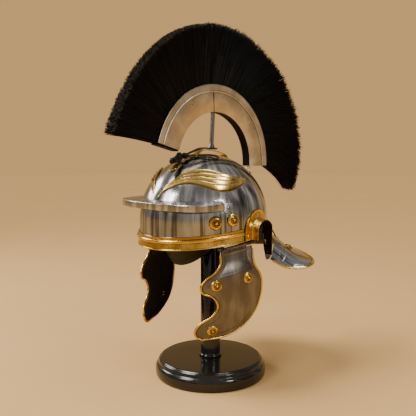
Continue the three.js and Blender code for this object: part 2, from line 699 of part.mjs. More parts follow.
// Leather thong: the knot in front of the crown with its loops, and the tie at the back
const KNOT = [
  { x: -4, y: -86, up: 10, r: 6 },
  { x: 5, y: -83, up: 10.5, r: 6.4 },
  { x: 1, y: -76, up: 10, r: 7 },
  { x: 6, y: -68, up: 8, r: 5.5 },
];
const ROUND_POST = [
  { x: 3, y: -70, up: 9 },
  { x: 3, y: -46, up: 7 },
  { x: 4, y: -24, up: 9.6 },
  { x: 6, y: -5, up: 10 },
  { x: 6, y: 9, up: 11 },
  { x: 0, y: 15, up: 11.6 },
  { x: -6, y: 9, up: 11 },
  { x: -6, y: -5, up: 10 },
  { x: -4, y: -24, up: 9.6 },
  { x: -2, y: -46, up: 7 },
  { x: 0, y: -74, up: 9 },
];
const ON_SKULL = [
  { x: 6, y: -70, up: 8 },
  { x: 17, y: -56, up: 2.6 },
  { x: 31, y: -40, up: 2.2 },
  { x: 42, y: -28, up: 2.2 },
  { x: 39, y: -20, up: 2.4 },
  { x: 29, y: -26, up: 2.4 },
  { x: 17, y: -44, up: 2.8 },
  { x: 5, y: -66, up: 8 },
];
function crestLace() {
  const lift = ({ x, y, up }) => [x, y, skullHeight(x, y) + up];
  const knot = KNOT.map((row) => new THREE.SphereGeometry(row.r, 6, 5).scale(1, 1, 0.85).translate(...lift(row)));
  const loops = [rod(curve(ROUND_POST.map(lift), 20), LACE, 4), rod(curve(ON_SKULL.map(lift), 14), LACE, 4)];
  return join(...knot, ...loops);
}
const CREST_RING = [0, 101.5, 372.3];
const NECK_RING = [0, 193.6, neckPoint(0.5, 0.93).z + 6.1];
const REAR_TIE = [
  [0, 106.7, 367.1],
  [0, 121, 337],
  [0, 139, 303],
  [0, 158, 272],
  [0, 175, 250],
  [0, NECK_RING[1] - 3.5, NECK_RING[2] + 4.1],
];

// Wire ring standing in the helmet's middle plane
function ring(center, radius, wire) {
  const torus = new THREE.TorusGeometry(radius, wire, 4, 10);
  return torus.rotateY(Math.PI / 2).translate(...center);
}

// Leather brow pad that hangs inside the front of the skull
function browPad() {
  const cols = 8;
  const rows = 4;
  const grid = (off) => Array.from({ length: rows + 1 }, (_, i) => Array.from({ length: cols + 1 }, (_, j) => {
    const angle = lerp(-56, 56, j / cols);
    const v = i / rows;
    const hem = 213 + 27 * (angle / 54) ** 2;
    const z = lerp(300, hem, v);
    const top = { a: SKULL.a - 3.2, b: SKULL.b - 3.2 };
    const t = v ** 0.85;
    const a = lerp(top.a, 62, t) - off;
    const b = lerp(top.b, 65, t) - off;
    return V(a * Math.sin(angle * DEG), SKULL.y - b * Math.cos(angle * DEG), z);
  }));
  return wall(grid(0), grid(2));
}

// Stand: a turned base and its post
function standBase() {
  const [R, r, h] = [STAND.baseRadius, STAND.topRadius, STAND.height];
  const profile = [
    [0, 0], [R - 2.1, 0], [R, 6], [R, 14], [R - 2, 20],
    [R - 4.4, 23], [R - 6.4, 28], [r - 0.4, h - 0.8], [r - 3, h], [0, h]];
  return new THREE.LatheGeometry(profile.map(([x, y]) => new THREE.Vector2(x, y)), 32).rotateX(Math.PI / 2);
}
function standPost() {
  const [p, h, top] = [STAND.postRadius, STAND.height + GAP, STAND.postTop];
  const profile = [
    [0, h], [p + 2.4, h], [p + 2.4, h + 3], [p, h + 6], [p, top - 3.4], [p - 6, top - 1], [0, top]];
  return new THREE.LatheGeometry(profile.map(([x, y]) => new THREE.Vector2(x, y)), 16).rotateX(Math.PI / 2);
}

// Assembly
const helmet = new THREE.Group();
function add(name, geometry, material, group = helmet) {
  const mesh = new THREE.Mesh(geometry, material());
  mesh.name = name;
  group.add(mesh);
}
const SIDES = [
  { name: "left", turn: (g) => g },
  { name: "right", turn: mirror },
];

add("stand_base", standBase(), blackWood);
add("stand_post", standPost(), blackWood);
add("skull_bowl", skullBowl(), steel);
add("neck_guard", neckGuard(), steel);
add("neck_guard_edging", neckEdging(), brass);
add("front_band", frontBand(), brass);
add("brow_guard", browGuard(), steel);
add("crown_keeper", crownKeeper(), brass);
add("crest_eyelet", eyelet(), brass);
add("brow_pad", browPad(), leather);

const SKULL_ROSETTES = [
  { name: "front", y: -78, z: 293.7, radius: 11.4 },
  { name: "rear", y: -48.2, z: 297.5, radius: 11 },
];
const EAR_RIVETS = [
  { name: "top", y: 9, z: 302 },
  { name: "front", y: -17, z: 268 },
];
const CHEEK_ROSETTES = [
  { name: "front", s: -7.2, z: 190.8 },
  { name: "rear", s: 51.4, z: 198.5 },
  { name: "low", s: -9.6, z: 114.4 },
];
const onSide = (y, z, off) => onSkull(bearingAt(y, z, off), z, off);

for (const { name: side, turn } of SIDES) {
  add(`eyebrow_${side}`, turn(eyebrow()), gilt);
  add(`ear_guard_${side}`, turn(earGuard()), brass);
  for (const { name, y, z, radius } of SKULL_ROSETTES) {
    const at = onSide(y, z, GAP);
    add(`skull_rosette_${name}_${side}`, turn(rosette(at, skullNormal(at), radius)), brass);
  }
  for (const { name, y, z } of EAR_RIVETS) {
    const at = onSide(y, z, 2.5);
    add(`ear_rivet_${name}_${side}`, turn(rivet(at, skullNormal(at), 2.6)), brass);
  }
  const tab = onSkull(70.5, 318, 2.5);
  add(`brow_guard_rivet_${side}`, turn(rivet(tab, skullNormal(tab), 3)), steel);
  add(`neck_rosette_${side}`, turn(neckRosette()), brass);
  add(`hinge_front_${side}`, turn(hingeBracket(-2, 8.6)), steel);
  add(`hinge_rear_${side}`, turn(hingeBracket(54, 73)), steel);
  add(`hinge_pin_${side}`, turn(rod([onHinge(9.1), onHinge(53.5)], HINGE.pin, 8)), steel);
  add(`cheek_guard_${side}`, turn(cheekGuard()), steel);
  add(`cheek_edging_${side}`, turn(cheekEdging()), brass);
  for (const { name, s, z } of CHEEK_ROSETTES) {
    const at = cheekPoint(s, z, CHEEK.wall / 2 + GAP);
    add(`cheek_rosette_${name}_${side}`, turn(rosette(at, cheekNormal(s, z), 9.8)), brass);
  }
  add(`crest_plate_rear_${side}`, turn(crestPlate(true)), crestSteel);
  add(`crest_plate_front_${side}`, turn(crestPlate(false)), crestSteel);
  for (const [name, angle] of [["front", 120.3], ["rear", 40]]) {
    add(`crest_rivet_${name}_${side}`, turn(rivet(crestPoint(116.8, angle, 9.5 + GAP), V(1, 0, 0), 2.4)), brass);
  }
}

add("crest_core", crestCore(), blackWood);
add("crest_post", crestPost(), steel);
add("plume", plume(), bristle);
add("crest_lace", crestLace(), leather);
add("crest_ring", ring(CREST_RING, 6, 0.9), steel);
add("neck_ring", ring(NECK_RING, 4.2, 0.9), steel);
add("rear_tie", rod(REAR_TIE.map((p) => V(...p)), LACE, 8), leather);

export default helmet;
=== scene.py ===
import math

import bmesh
import bpy
import numpy as np
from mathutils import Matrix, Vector


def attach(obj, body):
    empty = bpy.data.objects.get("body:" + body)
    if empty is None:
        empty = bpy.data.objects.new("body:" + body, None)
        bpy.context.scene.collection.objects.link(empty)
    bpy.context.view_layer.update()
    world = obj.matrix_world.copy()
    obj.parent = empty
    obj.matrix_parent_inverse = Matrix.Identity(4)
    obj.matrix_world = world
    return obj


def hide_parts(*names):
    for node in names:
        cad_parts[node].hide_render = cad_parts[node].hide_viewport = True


bl_info = {
    "name": "Legionary helmet",
    "version": (1, 0, 0),
    "blender": (4, 5, 0),
    "location": "View3D > Sidebar > Helmet",
    "description": "Makes a plumed legionary helmet on its turned stand, piece by piece",
    "category": "Add Mesh",
}

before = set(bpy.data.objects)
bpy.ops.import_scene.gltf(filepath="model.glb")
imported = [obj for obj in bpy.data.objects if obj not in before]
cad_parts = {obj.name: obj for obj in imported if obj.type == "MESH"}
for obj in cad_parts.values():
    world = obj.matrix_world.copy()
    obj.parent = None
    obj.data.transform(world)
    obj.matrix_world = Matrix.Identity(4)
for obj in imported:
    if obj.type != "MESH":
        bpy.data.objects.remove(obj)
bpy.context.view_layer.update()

# Sizes of the solids that the pieces stand for, in millimetres. The helmet faces -Y, its left side is +X.
MM = 0.001
GAP = 0.3
ROOT, CHEEK = "stand_and_helmet", "{}_cheek_guard"
SIDES = (("left", 1), ("right", -1))
STAND_RADIUS, STAND_TOP, STAND_HEIGHT = 101.6, 92.1, 32.0
POST_RADIUS, POST_TOP = 18.0, 399.2
SKULL_A, SKULL_B, SKULL_C, SKULL_Y, SKULL_Z, SKULL_WALL = 104.0, 121.5, 112.0, -15.6, 292.0, 1.6
RIM_FRONT, RIM_Y, RIM_RISE = 247.4, -137.0, 0.1
EAR_Y, EAR_Z, EAR_RADIUS, EAR_AHEAD = 12.5, 275.0, 20.5, 94.0
BAND_END, BAND_BEAD, BAND_NICKS = 84.0, 14.5, (-22.5, 21.0, 62.0)
GUARD_HALF, GUARD_Y, GUARD_REACH, GUARD_LOW, GUARD_TOP = 106.0, -89.4, 60.6, 315.5, 326.0
CREST_Y, CREST_Z, CREST_INNER, CREST_OUTER, CREST_BEAD = 4.5, 386.0, 91.3, 139.6, 127.0
CREST_FRONT, CREST_FOOT, CREST_SEAM = 164.5, 379.0, 93.0
BODY_MIDDLE = (0.0, SKULL_Y * MM, 0.0)

SHARP = 38          # degrees between two faces, past which their edge is sharp
DOUBLES = 2e-6      # metres within which two points are one
LINE_STEPS = 400    # points on a line that is read by its share

# The finishes by name, once they are made
FINISHES = {}


# Numbers and curves
def smooth(x, low, high):
    """Rises from 0 at low to 1 at high, level at both ends."""
    t = np.clip((np.asarray(x, float) - low) / (high - low), 0, 1)
    return t * t * (3 - 2 * t)


def table(x, xs, ys):
    """A smooth curve through the rows of a table."""
    xs, ys = np.asarray(xs, float), np.asarray(ys, float)
    slope = np.gradient(ys, xs)
    i = np.clip(np.searchsorted(xs, x) - 1, 0, len(xs) - 2)
    h = xs[i + 1] - xs[i]
    t = np.clip((x - xs[i]) / h, 0, 1)
    start = (2 * t**3 - 3 * t**2 + 1) * ys[i] + (t**3 - 2 * t**2 + t) * h * slope[i]
    return start + (3 * t**2 - 2 * t**3) * ys[i + 1] + (t**3 - t**2) * h * slope[i + 1]


def unit(v):
    """The same directions, one long."""
    v = np.asarray(v, float)
    return v / np.maximum(np.linalg.norm(v, axis=-1, keepdims=True), 1e-12)


def through(points, count, closed=False, even=True):
    """Points on a smooth curve through the given ones, evenly spaced or with as many in each span."""
    p = np.asarray(points, float)
    p = np.concatenate([p[-1:], p, p[:2]] if closed else [[2 * p[0] - p[1]], p, [2 * p[-1] - p[-2]]])
    last = len(p) - 3
    t = np.linspace(0, last, 60 * last + 1 if even else count)
    i = np.minimum(t.astype(int), last - 1)
    w = (t - i)[:, None]
    a, b, c, d = p[i], p[i + 1], p[i + 2], p[i + 3]
    d0, d1, d2 = (np.maximum(np.linalg.norm(n - m, axis=1, keepdims=True), 1e-9) ** 0.5
                  for m, n in ((a, b), (b, c), (c, d)))
    m1 = ((b - a) / d0 - (c - a) / (d0 + d1) + (c - b) / d1) * d1
    m2 = ((c - b) / d1 - (d - b) / (d1 + d2) + (d - c) / d2) * d1
    line = ((2 * w**3 - 3 * w**2 + 1) * b + (w**3 - 2 * w**2 + w) * m1
            + (3 * w**2 - 2 * w**3) * c + (w**3 - w**2) * m2)
    if not even:
        return line
    length = np.concatenate([[0], np.cumsum(np.linalg.norm(np.diff(line, axis=0), axis=1))])
    at = np.linspace(0, length[-1], count + 1)[:-1] if closed else np.linspace(0, length[-1], count)
    return np.stack([np.interp(at, length, line[:, k]) for k in range(3)], -1)


# Bodies: points, faces, and for each face the number of its finish
def quads(number):
    """The four corners of every cell of a grid of point numbers."""
    return np.stack([number[:-1, :-1], number[:-1, 1:], number[1:, 1:], number[1:, :-1]], -1).reshape(-1, 4)


def wall(outer, inner, closed=False, inside=0):
    """A sheet between two grids of points, closed along its open edges."""
    rows, cols = outer.shape[:2]
    number = np.arange(2 * rows * cols).reshape(2, rows, cols)
    if closed:
        number = np.concatenate([number, number[:, :, :1]], 2)
    out, inn = number
    groups = [quads(out), quads(inn)[:, ::-1], quads(np.stack([inn[0], out[0]])), quads(np.stack([out[-1], inn[-1]]))]
    if not closed:
        groups += [quads(np.stack([out[:, 0], inn[:, 0]])), quads(np.stack([inn[:, -1], out[:, -1]]))]
    parts = np.concatenate([np.full(len(g), inside if k == 1 else 0) for k, g in enumerate(groups)])
    points = np.concatenate([outer.reshape(-1, 3), inner.reshape(-1, 3)])
    return points, np.concatenate(groups).tolist(), parts.tolist()


def loft(rings, closed=False, caps=True, part=0):
    """A bar through rings of points."""
    rings = np.asarray(rings, float)
    n, m = rings.shape[:2]
    number = np.arange(n * m).reshape(n, m)
    number = np.concatenate([number, number[:, :1]], 1)
    if closed:
        number = np.concatenate([number, number[:1]], 0)
    faces = quads(number).tolist()
    if caps and not closed:
        faces += [list(range(m))[::-1], list(range((n - 1) * m, n * m))]
    return rings.reshape(-1, 3), faces, [part] * len(faces)


def tube(line, radius, sides=12, closed=False):
    """A round bar along a line, its radius one number or one for each point."""
    line = np.asarray(line, float)
    along = unit(np.roll(line, -1, 0) - np.roll(line, 1, 0) if closed else np.gradient(line, axis=0))
    radius = np.broadcast_to(radius, len(line))
    side = np.cross([0, 0, 1.0], along[0])
    if np.linalg.norm(side) < 0.1:
        side = np.array([1.0, 0, 0])
    turn = (np.arange(sides) + 0.5) / sides * 2 * np.pi
    rings = []
    for p, a, r in zip(line, along, radius):
        side = unit(side - a * side.dot(a))
        up = np.cross(a, side)
        rings.append(p + r * (np.cos(turn)[:, None] * side + np.sin(turn)[:, None] * up))
    return loft(rings, closed)


def lathe(profile, count, lobes=0, depth=0.0):
    """A turned body about Z from rows of radius and height, its rim waved in lobes."""
    turn = np.arange(count) / count * 2 * np.pi
    widest = max(r for r, _ in profile)
    rings = []
    for r, z in profile:
        wave = 1 + depth * np.cos(lobes * turn) * smooth(r / widest, 0.6, 0.95)
        rings.append(np.stack([r * wave * np.cos(turn), r * wave * np.sin(turn), np.full(count, float(z))], -1))
    return loft(rings, caps=False)


def together(*bodies):
    """Several bodies as one."""
    points, faces, parts, first = [], [], [], 0
    for p, f, k in bodies:
        points.append(p)
        faces += [[first + i for i in face] for face in f]
        parts += list(k)
        first += len(p)
    return np.concatenate(points), faces, parts


def flipped(body, sign):
    """The body on its own side, or on the other one where sign is -1."""
    points, faces, parts = body
    points = np.asarray(points) * (sign, 1, 1)
    return points, faces, parts


def mark(mesh, name, values, kind="FLOAT"):
    """Stores a number for each point of a mesh, or a direction."""
    data = mesh.attributes.new(name, kind, "POINT").data
    data.foreach_set("value" if kind == "FLOAT" else "vector", np.ravel(values).astype(np.float32))


def linked(name, mesh):
    """A new object in the scene."""
    item = bpy.data.objects.new(name, mesh)
    bpy.context.scene.collection.objects.link(item)
    return item


def mesh_from(name, body, looks=(), sharp=SHARP, hollow=None):
    """A smooth-shaded mesh in metres, faces outward, doubles merged; the last argument gives each point's share of
    painted shade, darkest in grooves and at joints.
    """
    points, faces, parts = body
    mesh = bpy.data.meshes.new(name)
    mesh.from_pydata((np.asarray(points) * MM).tolist(), [], faces)
    if hollow is not None:
        mark(mesh, "hollow", np.pad(np.ravel(hollow), (0, len(mesh.vertices) - hollow.size)))
    for look in looks:
        mesh.materials.append(FINISHES[look])
    mesh.polygons.foreach_set("material_index", parts)
    work = bmesh.new()
    work.from_mesh(mesh)
    bmesh.ops.remove_doubles(work, verts=work.verts, dist=DOUBLES)
    if work.calc_volume(signed=True) < 0:
        bmesh.ops.reverse_faces(work, faces=work.faces)
    for face in work.faces:
        face.smooth = True
    for edge in work.edges:
        edge.smooth = len(edge.link_faces) == 2 and edge.calc_face_angle(0) < math.radians(sharp)
    work.to_mesh(mesh)
    work.free()
    return mesh


def settle(item, look, *nodes, rides=ROOT):
    """Puts a finished piece on the body that it rides on and hides the solids that it stands for. The finish that it
    is given is not used.
    """
    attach(item, rides)
    if nodes:
        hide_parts(*nodes)
    return item


def piece(name, body, looks, *nodes, rides=ROOT, sharp=SHARP, hollow=None):
    """One piece from its points and faces, in one finish or in an outer and an inner one."""
    looks = [looks] if isinstance(looks, str) else looks
    return settle(linked(name, mesh_from(name, body, looks, sharp, hollow)), looks[0], *nodes, rides=rides)


def sided(side, sign, name, body, looks, *nodes, rides=ROOT, **more):
    """A piece on one side of the helmet. The names hold {} where the side goes."""
    piece(name.format(side), flipped(body, sign), looks, *(node.format(side) for node in nodes),
          rides=rides.format(side), **more)


def both(*given, **more):
    """A piece on each side of the helmet."""
    for side, sign in SIDES:
        sided(side, sign, *given, **more)


def plain(item):
    """Turns an object's live modifiers into a plain mesh."""
    graph = bpy.context.evaluated_depsgraph_get()
    mesh = bpy.data.meshes.new_from_object(item.evaluated_get(graph), depsgraph=graph)
    item.modifiers.clear()
    item.data = mesh
    return item


# Nodes
class Value:
    """One output of a node, used in sums like a number."""

    def __init__(self, nodes, socket):
        self.nodes = nodes
        self.socket = socket

    def __add__(self, other):
        return self.nodes.math("ADD", self, other)

    def __radd__(self, other):
        return self.nodes.math("ADD", other, self)

    def __sub__(self, other):
        return self.nodes.math("SUBTRACT", self, other)

    def __rsub__(self, other):
        return self.nodes.math("SUBTRACT", other, self)

    def __mul__(self, other):
        return self.nodes.math("MULTIPLY", self, other)

    def __rmul__(self, other):
        return self.nodes.math("MULTIPLY", other, self)

    def __truediv__(self, other):
        return self.nodes.math("DIVIDE", self, other)

    def __rtruediv__(self, other):
        return self.nodes.math("DIVIDE", other, self)

    def __pow__(self, other):
        return self.nodes.math("POWER", self, other)


class Nodes:
    """Adds nodes to one tree, of a finish or of Geometry Nodes."""

    def __init__(self, tree):
        self.tree = tree

    @staticmethod
    def find(sockets, key):
        if isinstance(key, int):
            return sockets[key]
        return next(s for s in sockets if key in (s.identifier, s.name))

    def put(self, socket, value):
        if isinstance(value, Value):
            self.tree.links.new(value.socket, socket)
        elif hasattr(value, "__len__") and not isinstance(value, str) and len(socket.default_value) == 4:
            socket.default_value = (*value[:3], 1.0)
        else:
            socket.default_value = value

    def add(self, kind, settings=None, inputs=None, output=0):
        """One node by its type, its settings first, then the values or links of its sockets."""
        node = self.tree.nodes.new(kind)
        for name, value in (settings or {}).items():
            if name == "stops":
                ramp = node.color_ramp.elements
                while len(ramp) < len(value):
                    ramp.new(0.5)
                for stop, (at, colour) in zip(ramp, value):
                    stop.position = at
                    stop.color = (*colour, 1.0)
            else:
                setattr(node, name, value)
        pairs = (inputs or {}).items() if isinstance(inputs, dict) else enumerate(inputs or ())
        for name, value in pairs:
            self.put(self.find(node.inputs, name), value)
        return Value(self, self.find(node.outputs, output)) if len(node.outputs) else node

    def math(self, operation, *values):
        return self.add("ShaderNodeMath", {"operation": operation}, values)

    def spot(self):
        """Object coordinates."""
        return self.add("ShaderNodeTexCoord", output="Object")

    def marked(self, name):
        """The number that a mesh stores under a name."""
        return self.add("ShaderNodeAttribute", {"attribute_name": name}, output="Fac")

    def split(self, vector):
        parts = self.add("ShaderNodeSeparateXYZ", inputs=[vector]).socket.node.outputs
        return [Value(self, socket) for socket in parts]

    def vector(self, x=0.0, y=0.0, z=0.0):
        return self.add("ShaderNodeCombineXYZ", inputs=[x, y, z])

    def noise(self, vector, scale, detail=3.0, rough=0.5, warp=0.0):
        return self.add("ShaderNodeTexNoise", inputs={
            "Vector": vector, "Scale": scale, "Detail": detail, "Roughness": rough, "Distortion": warp})

    def between(self, value, low, high, first=0.0, last=1.0):
        """Goes smoothly from first to last as value goes from low to high."""
        return self.add("ShaderNodeMapRange", {"interpolation_type": "SMOOTHSTEP"}, {
            "Value": value, "From Min": low, "From Max": high, "To Min": first, "To Max": last})

    def mix(self, factor, first, second, blend="MIX"):
        return self.add("ShaderNodeMix", {"data_type": "RGBA", "blend_type": blend}, {
            "Factor_Float": factor, "A_Color": first, "B_Color": second}, "Result_Color")

    def bump(self, height):
        """The surface normal over a height in metres."""
        return self.add("ShaderNodeBump", inputs={"Height": height, "Distance": 1.0, "Strength": 1.0})

    def around(self, middle, round_scale, high_scale):
        """Coordinates that run round an upright axis without a seam, stretched in height."""
        x, y, z = self.split(self.spot())
        x, y = x - middle[0], y - middle[1]
        far = self.math("SQRT", x * x + y * y) + 1e-5
        return self.vector(x / far * round_scale, y / far * round_scale, z * high_scale), z

    def shader(self, **inputs):
        """The finish's own shader. Names are its sockets' names, with _ for a blank."""
        node = next(n for n in self.tree.nodes if n.type == "BSDF_PRINCIPLED")
        for name, value in inputs.items():
            self.put(node.inputs[name.replace("_", " ")], value)


def finish(name):
    """A new material and the means to add its nodes, made once."""
    material = bpy.data.materials.new(name)
    material.use_nodes = True
    FINISHES[name] = material
    return Nodes(material.node_tree)


def dark(colour, share):
    """The same colour at a share of its strength."""
    return tuple(c * share for c in colour)


def warm(colour, red, blue):
    """The same colour with more or less red and blue."""
    return (colour[0] * red, colour[1], colour[2] * blue)


def make_metal(name, colour, deep, streak, rough, waves, grain, under_guard_shade=0.0):
    """Polished sheet: slow waves, upright streaks, a fine grain and darker, warmer patches."""
    n = finish(name)
    turned, z = n.around(BODY_MIDDLE, streak, 15.0)
    slow = n.noise(turned, 1.0, 2.0, 0.45)
    fine = n.noise(turned, 9.0, 3.0, 0.6)
    place = n.spot()
    patch = n.noise(place, 22.0, 4.0, 0.6, 0.4)
    pits = n.noise(place, 420.0, 3.0, 0.65)
    tone = n.mix(n.between(slow, 0.36, 0.66), deep, colour)
    tone = n.mix(n.between(patch, 0.5, 0.75, 0.0, 0.55), tone, warm(dark(colour, 0.55), 1.12, 0.82))
    tone = n.mix(n.between(fine, 0.55, 0.8, 0.0, 0.4), tone, dark(colour, 1.15))
    # Painted shade: points marked for it go to 8% of the steel's colour, in grooves and at joints.
    tone = n.mix(n.marked("hollow"), tone, dark(colour, 0.08))
    # Painted shade below the brow guard: the steel goes a darker blue-grey and is streaked near black, fully below
    # 0.3 m and a quarter as strongly above 0.322 m.
    if under_guard_shade:
        drop = n.noise(n.around(BODY_MIDDLE, streak * 1.7, 5.0)[0], 1.0, 2.0, 0.6)
        low = n.between(z, 0.3, 0.322, under_guard_shade, under_guard_shade * 0.25)
        tone = n.mix(low * 0.6, tone, (0.33, 0.37, 0.42))
        tone = n.mix(n.between(drop, 0.5, 0.64) * low, tone, warm(dark(colour, 0.13), 1.1, 0.85))
    height = slow * waves + fine * (waves * 0.05) + pits * grain
    n.shader(Base_Color=tone, Metallic=1.0,
             Roughness=n.between(patch * 0.6 + fine * 0.4, 0.3, 0.75, rough * 0.75, rough * 1.5),
             Normal=n.bump(height))


def make_brushed(name, colour, deep, rough):
    """Brushed sheet in the upright middle plane, its grain running out from the crest's centre."""
    n = finish(name)
    place = n.spot()
    x, y, z = n.split(place)
    turn = n.math("ARCTAN2", z - CREST_Z * MM, y - CREST_Y * MM)
    grain = n.noise(n.vector(turn * 60.0, x * 40.0, z * 3.0), 3.0, 4.0, 0.7)
    cloud = n.noise(place, 34.0, 4.0, 0.6, 0.3)
    tone = n.mix(n.between(cloud, 0.35, 0.7), deep, colour)
    tone = n.mix(n.between(grain, 0.45, 0.75, 0.0, 0.45), tone, dark(colour, 1.2))
    # Painted shade: marked points go to 6% of the sheet's colour, in grooves and at joints.
    tone = n.mix(n.marked("hollow"), tone, dark(colour, 0.06))
    n.shader(Base_Color=tone, Metallic=1.0,
             Roughness=n.between(grain * 0.5 + cloud * 0.5, 0.3, 0.7, rough * 0.8, rough * 1.25),
             Normal=n.bump(grain * 0.00006 + cloud * 0.0004))


def make_brass(name, colour, rough, deep_share, scale=30.0, waves=0.6):
    """Worn yellow metal, browner where polish has not reached, with painted shade near black in its grooves and at
    its joints.
    """
    n = finish(name)
    place = n.spot()
    x, y, z = n.split(place)
    cloud = n.noise(place, scale, 5.0, 0.62, 0.5)
    drag = n.noise(n.vector(x * 22.0, y * 22.0, z * 190.0), 2.0, 3.0, 0.6)
    pits = n.noise(place, 520.0, 3.0, 0.65)
    tone = n.mix(n.between(cloud, 0.38, 0.68), warm(dark(colour, deep_share), 1.06, 0.7), colour)
    tone = n.mix(n.between(drag, 0.56, 0.78, 0.0, 0.45), tone, warm(dark(colour, 1.25), 1.0, 1.5))
    # Painted shade: marked points go to 7% of the brass colour, a little warmer.
    tone = n.mix(n.marked("hollow"), tone, warm(dark(colour, 0.07), 1.1, 0.7))
    n.shader(Base_Color=tone, Metallic=1.0,
             Roughness=n.between(cloud * 0.5 + pits * 0.5, 0.35, 0.7, rough * 0.75, rough * 1.5),
             Normal=n.bump(cloud * (0.0006 * waves) + drag * 0.00005 + pits * 0.00001))


def make_finishes(colours):
    """Every finish of the helmet and its stand."""
    make_metal("polished_steel", colours.steel, dark(colours.steel, 0.36), 8.0, 0.17, 0.0005, 0.00001, 0.85)
    make_metal("cheek_steel", colours.cheek, dark(colours.cheek, 0.6), 5.0, 0.3, 0.0003, 0.00002)
    make_metal("bar_steel", colours.bar, dark(colours.bar, 0.4), 16.0, 0.26, 0.0001, 0.00002)
    make_metal("hinge_steel", dark(colours.bar, 0.3), dark(colours.bar, 0.1), 30.0, 0.3, 0.0001, 0.00002)
    make_brushed("crest_sheet", colours.crest, dark(colours.crest, 0.72), 0.36)
    make_brass("brass", colours.brass, 0.22, 0.62, 30.0, 0.4)
    make_brass("stud_brass", colours.brass, 0.2, 0.62, 70.0, 0.25)
    make_brass("gilt_relief", colours.gilt, 0.2, 0.85, 60.0, 0.08)

    n = finish("black_lacquer")
    place = n.spot()
    x, y, z = n.split(place)
    dust = n.noise(place, 160.0, 4.0, 0.7)
    ripple = n.noise(n.vector(x, y, z * 3.0), 24.0, 2.0)
    n.shader(Base_Color=n.mix(n.between(dust, 0.5, 0.8), colours.lacquer, dark((1, 0.92, 0.85), 0.02)),
             Roughness=n.between(dust * 0.5 + ripple * 0.5, 0.3, 0.75, 0.1, 0.22),
             Normal=n.bump(ripple * 0.0003 + dust * 0.00001), Specular_IOR_Level=0.5)

    # Near-black for the inner faces of the sheets and for the crest's filling.
    n = finish("black_paint")
    place = n.spot()
    speckle = n.noise(place, 260.0, 4.0, 0.7)
    cloud = n.noise(place, 18.0, 3.0)
    n.shader(Base_Color=n.mix(n.between(cloud, 0.4, 0.75), (0.0015, 0.0013, 0.0012), (0.005, 0.0036, 0.003)),
             Specular_IOR_Level=0.08, Roughness=n.between(speckle, 0.3, 0.7, 0.5, 0.75),
             Normal=n.bump(speckle * 0.00012))

    n = finish("black_leather")
    place = n.spot()
    cell = n.add("ShaderNodeTexVoronoi", {"feature": "DISTANCE_TO_EDGE"}, {"Vector": place, "Scale": 620.0})
    cloud = n.noise(place, 40.0, 4.0, 0.6)
    crease = n.between(cell, 0.0, 0.12)
    tone = n.mix(n.between(cloud, 0.4, 0.7), colours.leather, dark((1, 0.82, 0.68), 0.014))
    n.shader(Base_Color=n.mix(crease, dark(colours.leather, 0.4), tone), Specular_IOR_Level=0.3,
             Roughness=n.between(cloud, 0.3, 0.7, 0.34, 0.55), Normal=n.bump(crease * 0.00012 + cloud * 0.0002))

    n = finish("black_bristle")
    share, shade = n.marked("share"), n.marked("shade")
    tone = n.mix(shade, dark(colours.bristle, 0.35), dark(colours.bristle, 1.7))
    cut = n.between(share, 0.955, 0.99) * n.between(shade, 0.62, 0.8)
    n.shader(Base_Color=n.mix(cut, tone, (0.11, 0.095, 0.075)), Roughness=n.between(shade, 0, 1, 0.4, 0.6),
             Specular_IOR_Level=0.16)

    n = finish("plume_core")
    hair = n.noise(n.around((0.0, CREST_Y * MM, 0.0), 30.0, 30.0)[0], 4.0, 4.0, 0.7)
    n.shader(Base_Color=n.mix(hair, (0.0006, 0.0006, 0.0006), (0.003, 0.0026, 0.0024)), Roughness=0.9,
             Specular_IOR_Level=0.05, Normal=n.bump(hair * 0.001))

    n = finish("waxed_thread")
    place = n.spot()
    twist = n.noise(place, 900.0, 2.0)
    n.shader(Base_Color=n.mix(twist, (0.02, 0.016, 0.012), (0.09, 0.07, 0.05)), Roughness=0.6,
             Normal=n.bump(twist * 0.0001))

    n = finish("pale_floor")
    place = n.spot()
    cloud = n.noise(place, 3.0, 4.0, 0.6)
    n.shader(Base_Color=n.mix(n.between(cloud, 0.3, 0.7), dark(colours.floor, 0.97), colours.floor), Roughness=0.85,
             Specular_IOR_Level=0.15)


# Geometry Nodes
def new_tree(name, *sockets):
    """An empty tree with its named inputs, as values to use, and its output node."""
    tree = bpy.data.node_groups.new(name, "GeometryNodeTree")
    tree.interface.new_socket(name="Geometry", in_out="OUTPUT", socket_type="NodeSocketGeometry")
    for label, kind in (("Geometry", "Geometry"), *sockets):
        tree.interface.new_socket(name=label, in_out="INPUT", socket_type="NodeSocket" + kind)
    n = Nodes(tree)
    given = tree.nodes.new("NodeGroupInput")
    values = {socket.name: Value(n, socket) for socket in given.outputs if socket.name}
    return tree, n, values


def close_tree(tree, n, geometry, material):
    """Ends a tree in real faces with their finish."""
    real = n.add("GeometryNodeRealizeInstances", inputs={"Geometry": geometry})
    done = n.add("GeometryNodeSetMaterial", inputs={"Geometry": real, "Material": material})
    n.put(tree.nodes.new("NodeGroupOutput").inputs[0], done)


def attribute(n, name, kind="FLOAT"):
    """What a mesh stores under a name, as a value of a Geometry Nodes tree."""
    return n.add("GeometryNodeInputNamedAttribute", {"data_type": kind}, {"Name": name})


def use_tree(item, tree, **values):
    """Puts a tree on an object, with its inputs set by their identifiers."""
    modifier = item.modifiers.new(tree.name, "NODES")
    modifier.node_group = tree
    keys = {s.name: s.identifier for s in tree.interface.items_tree if s.in_out == "INPUT"}
    for name, value in values.items():
        modifier[keys[name.replace("_", " ")]] = value
    return plain(item)


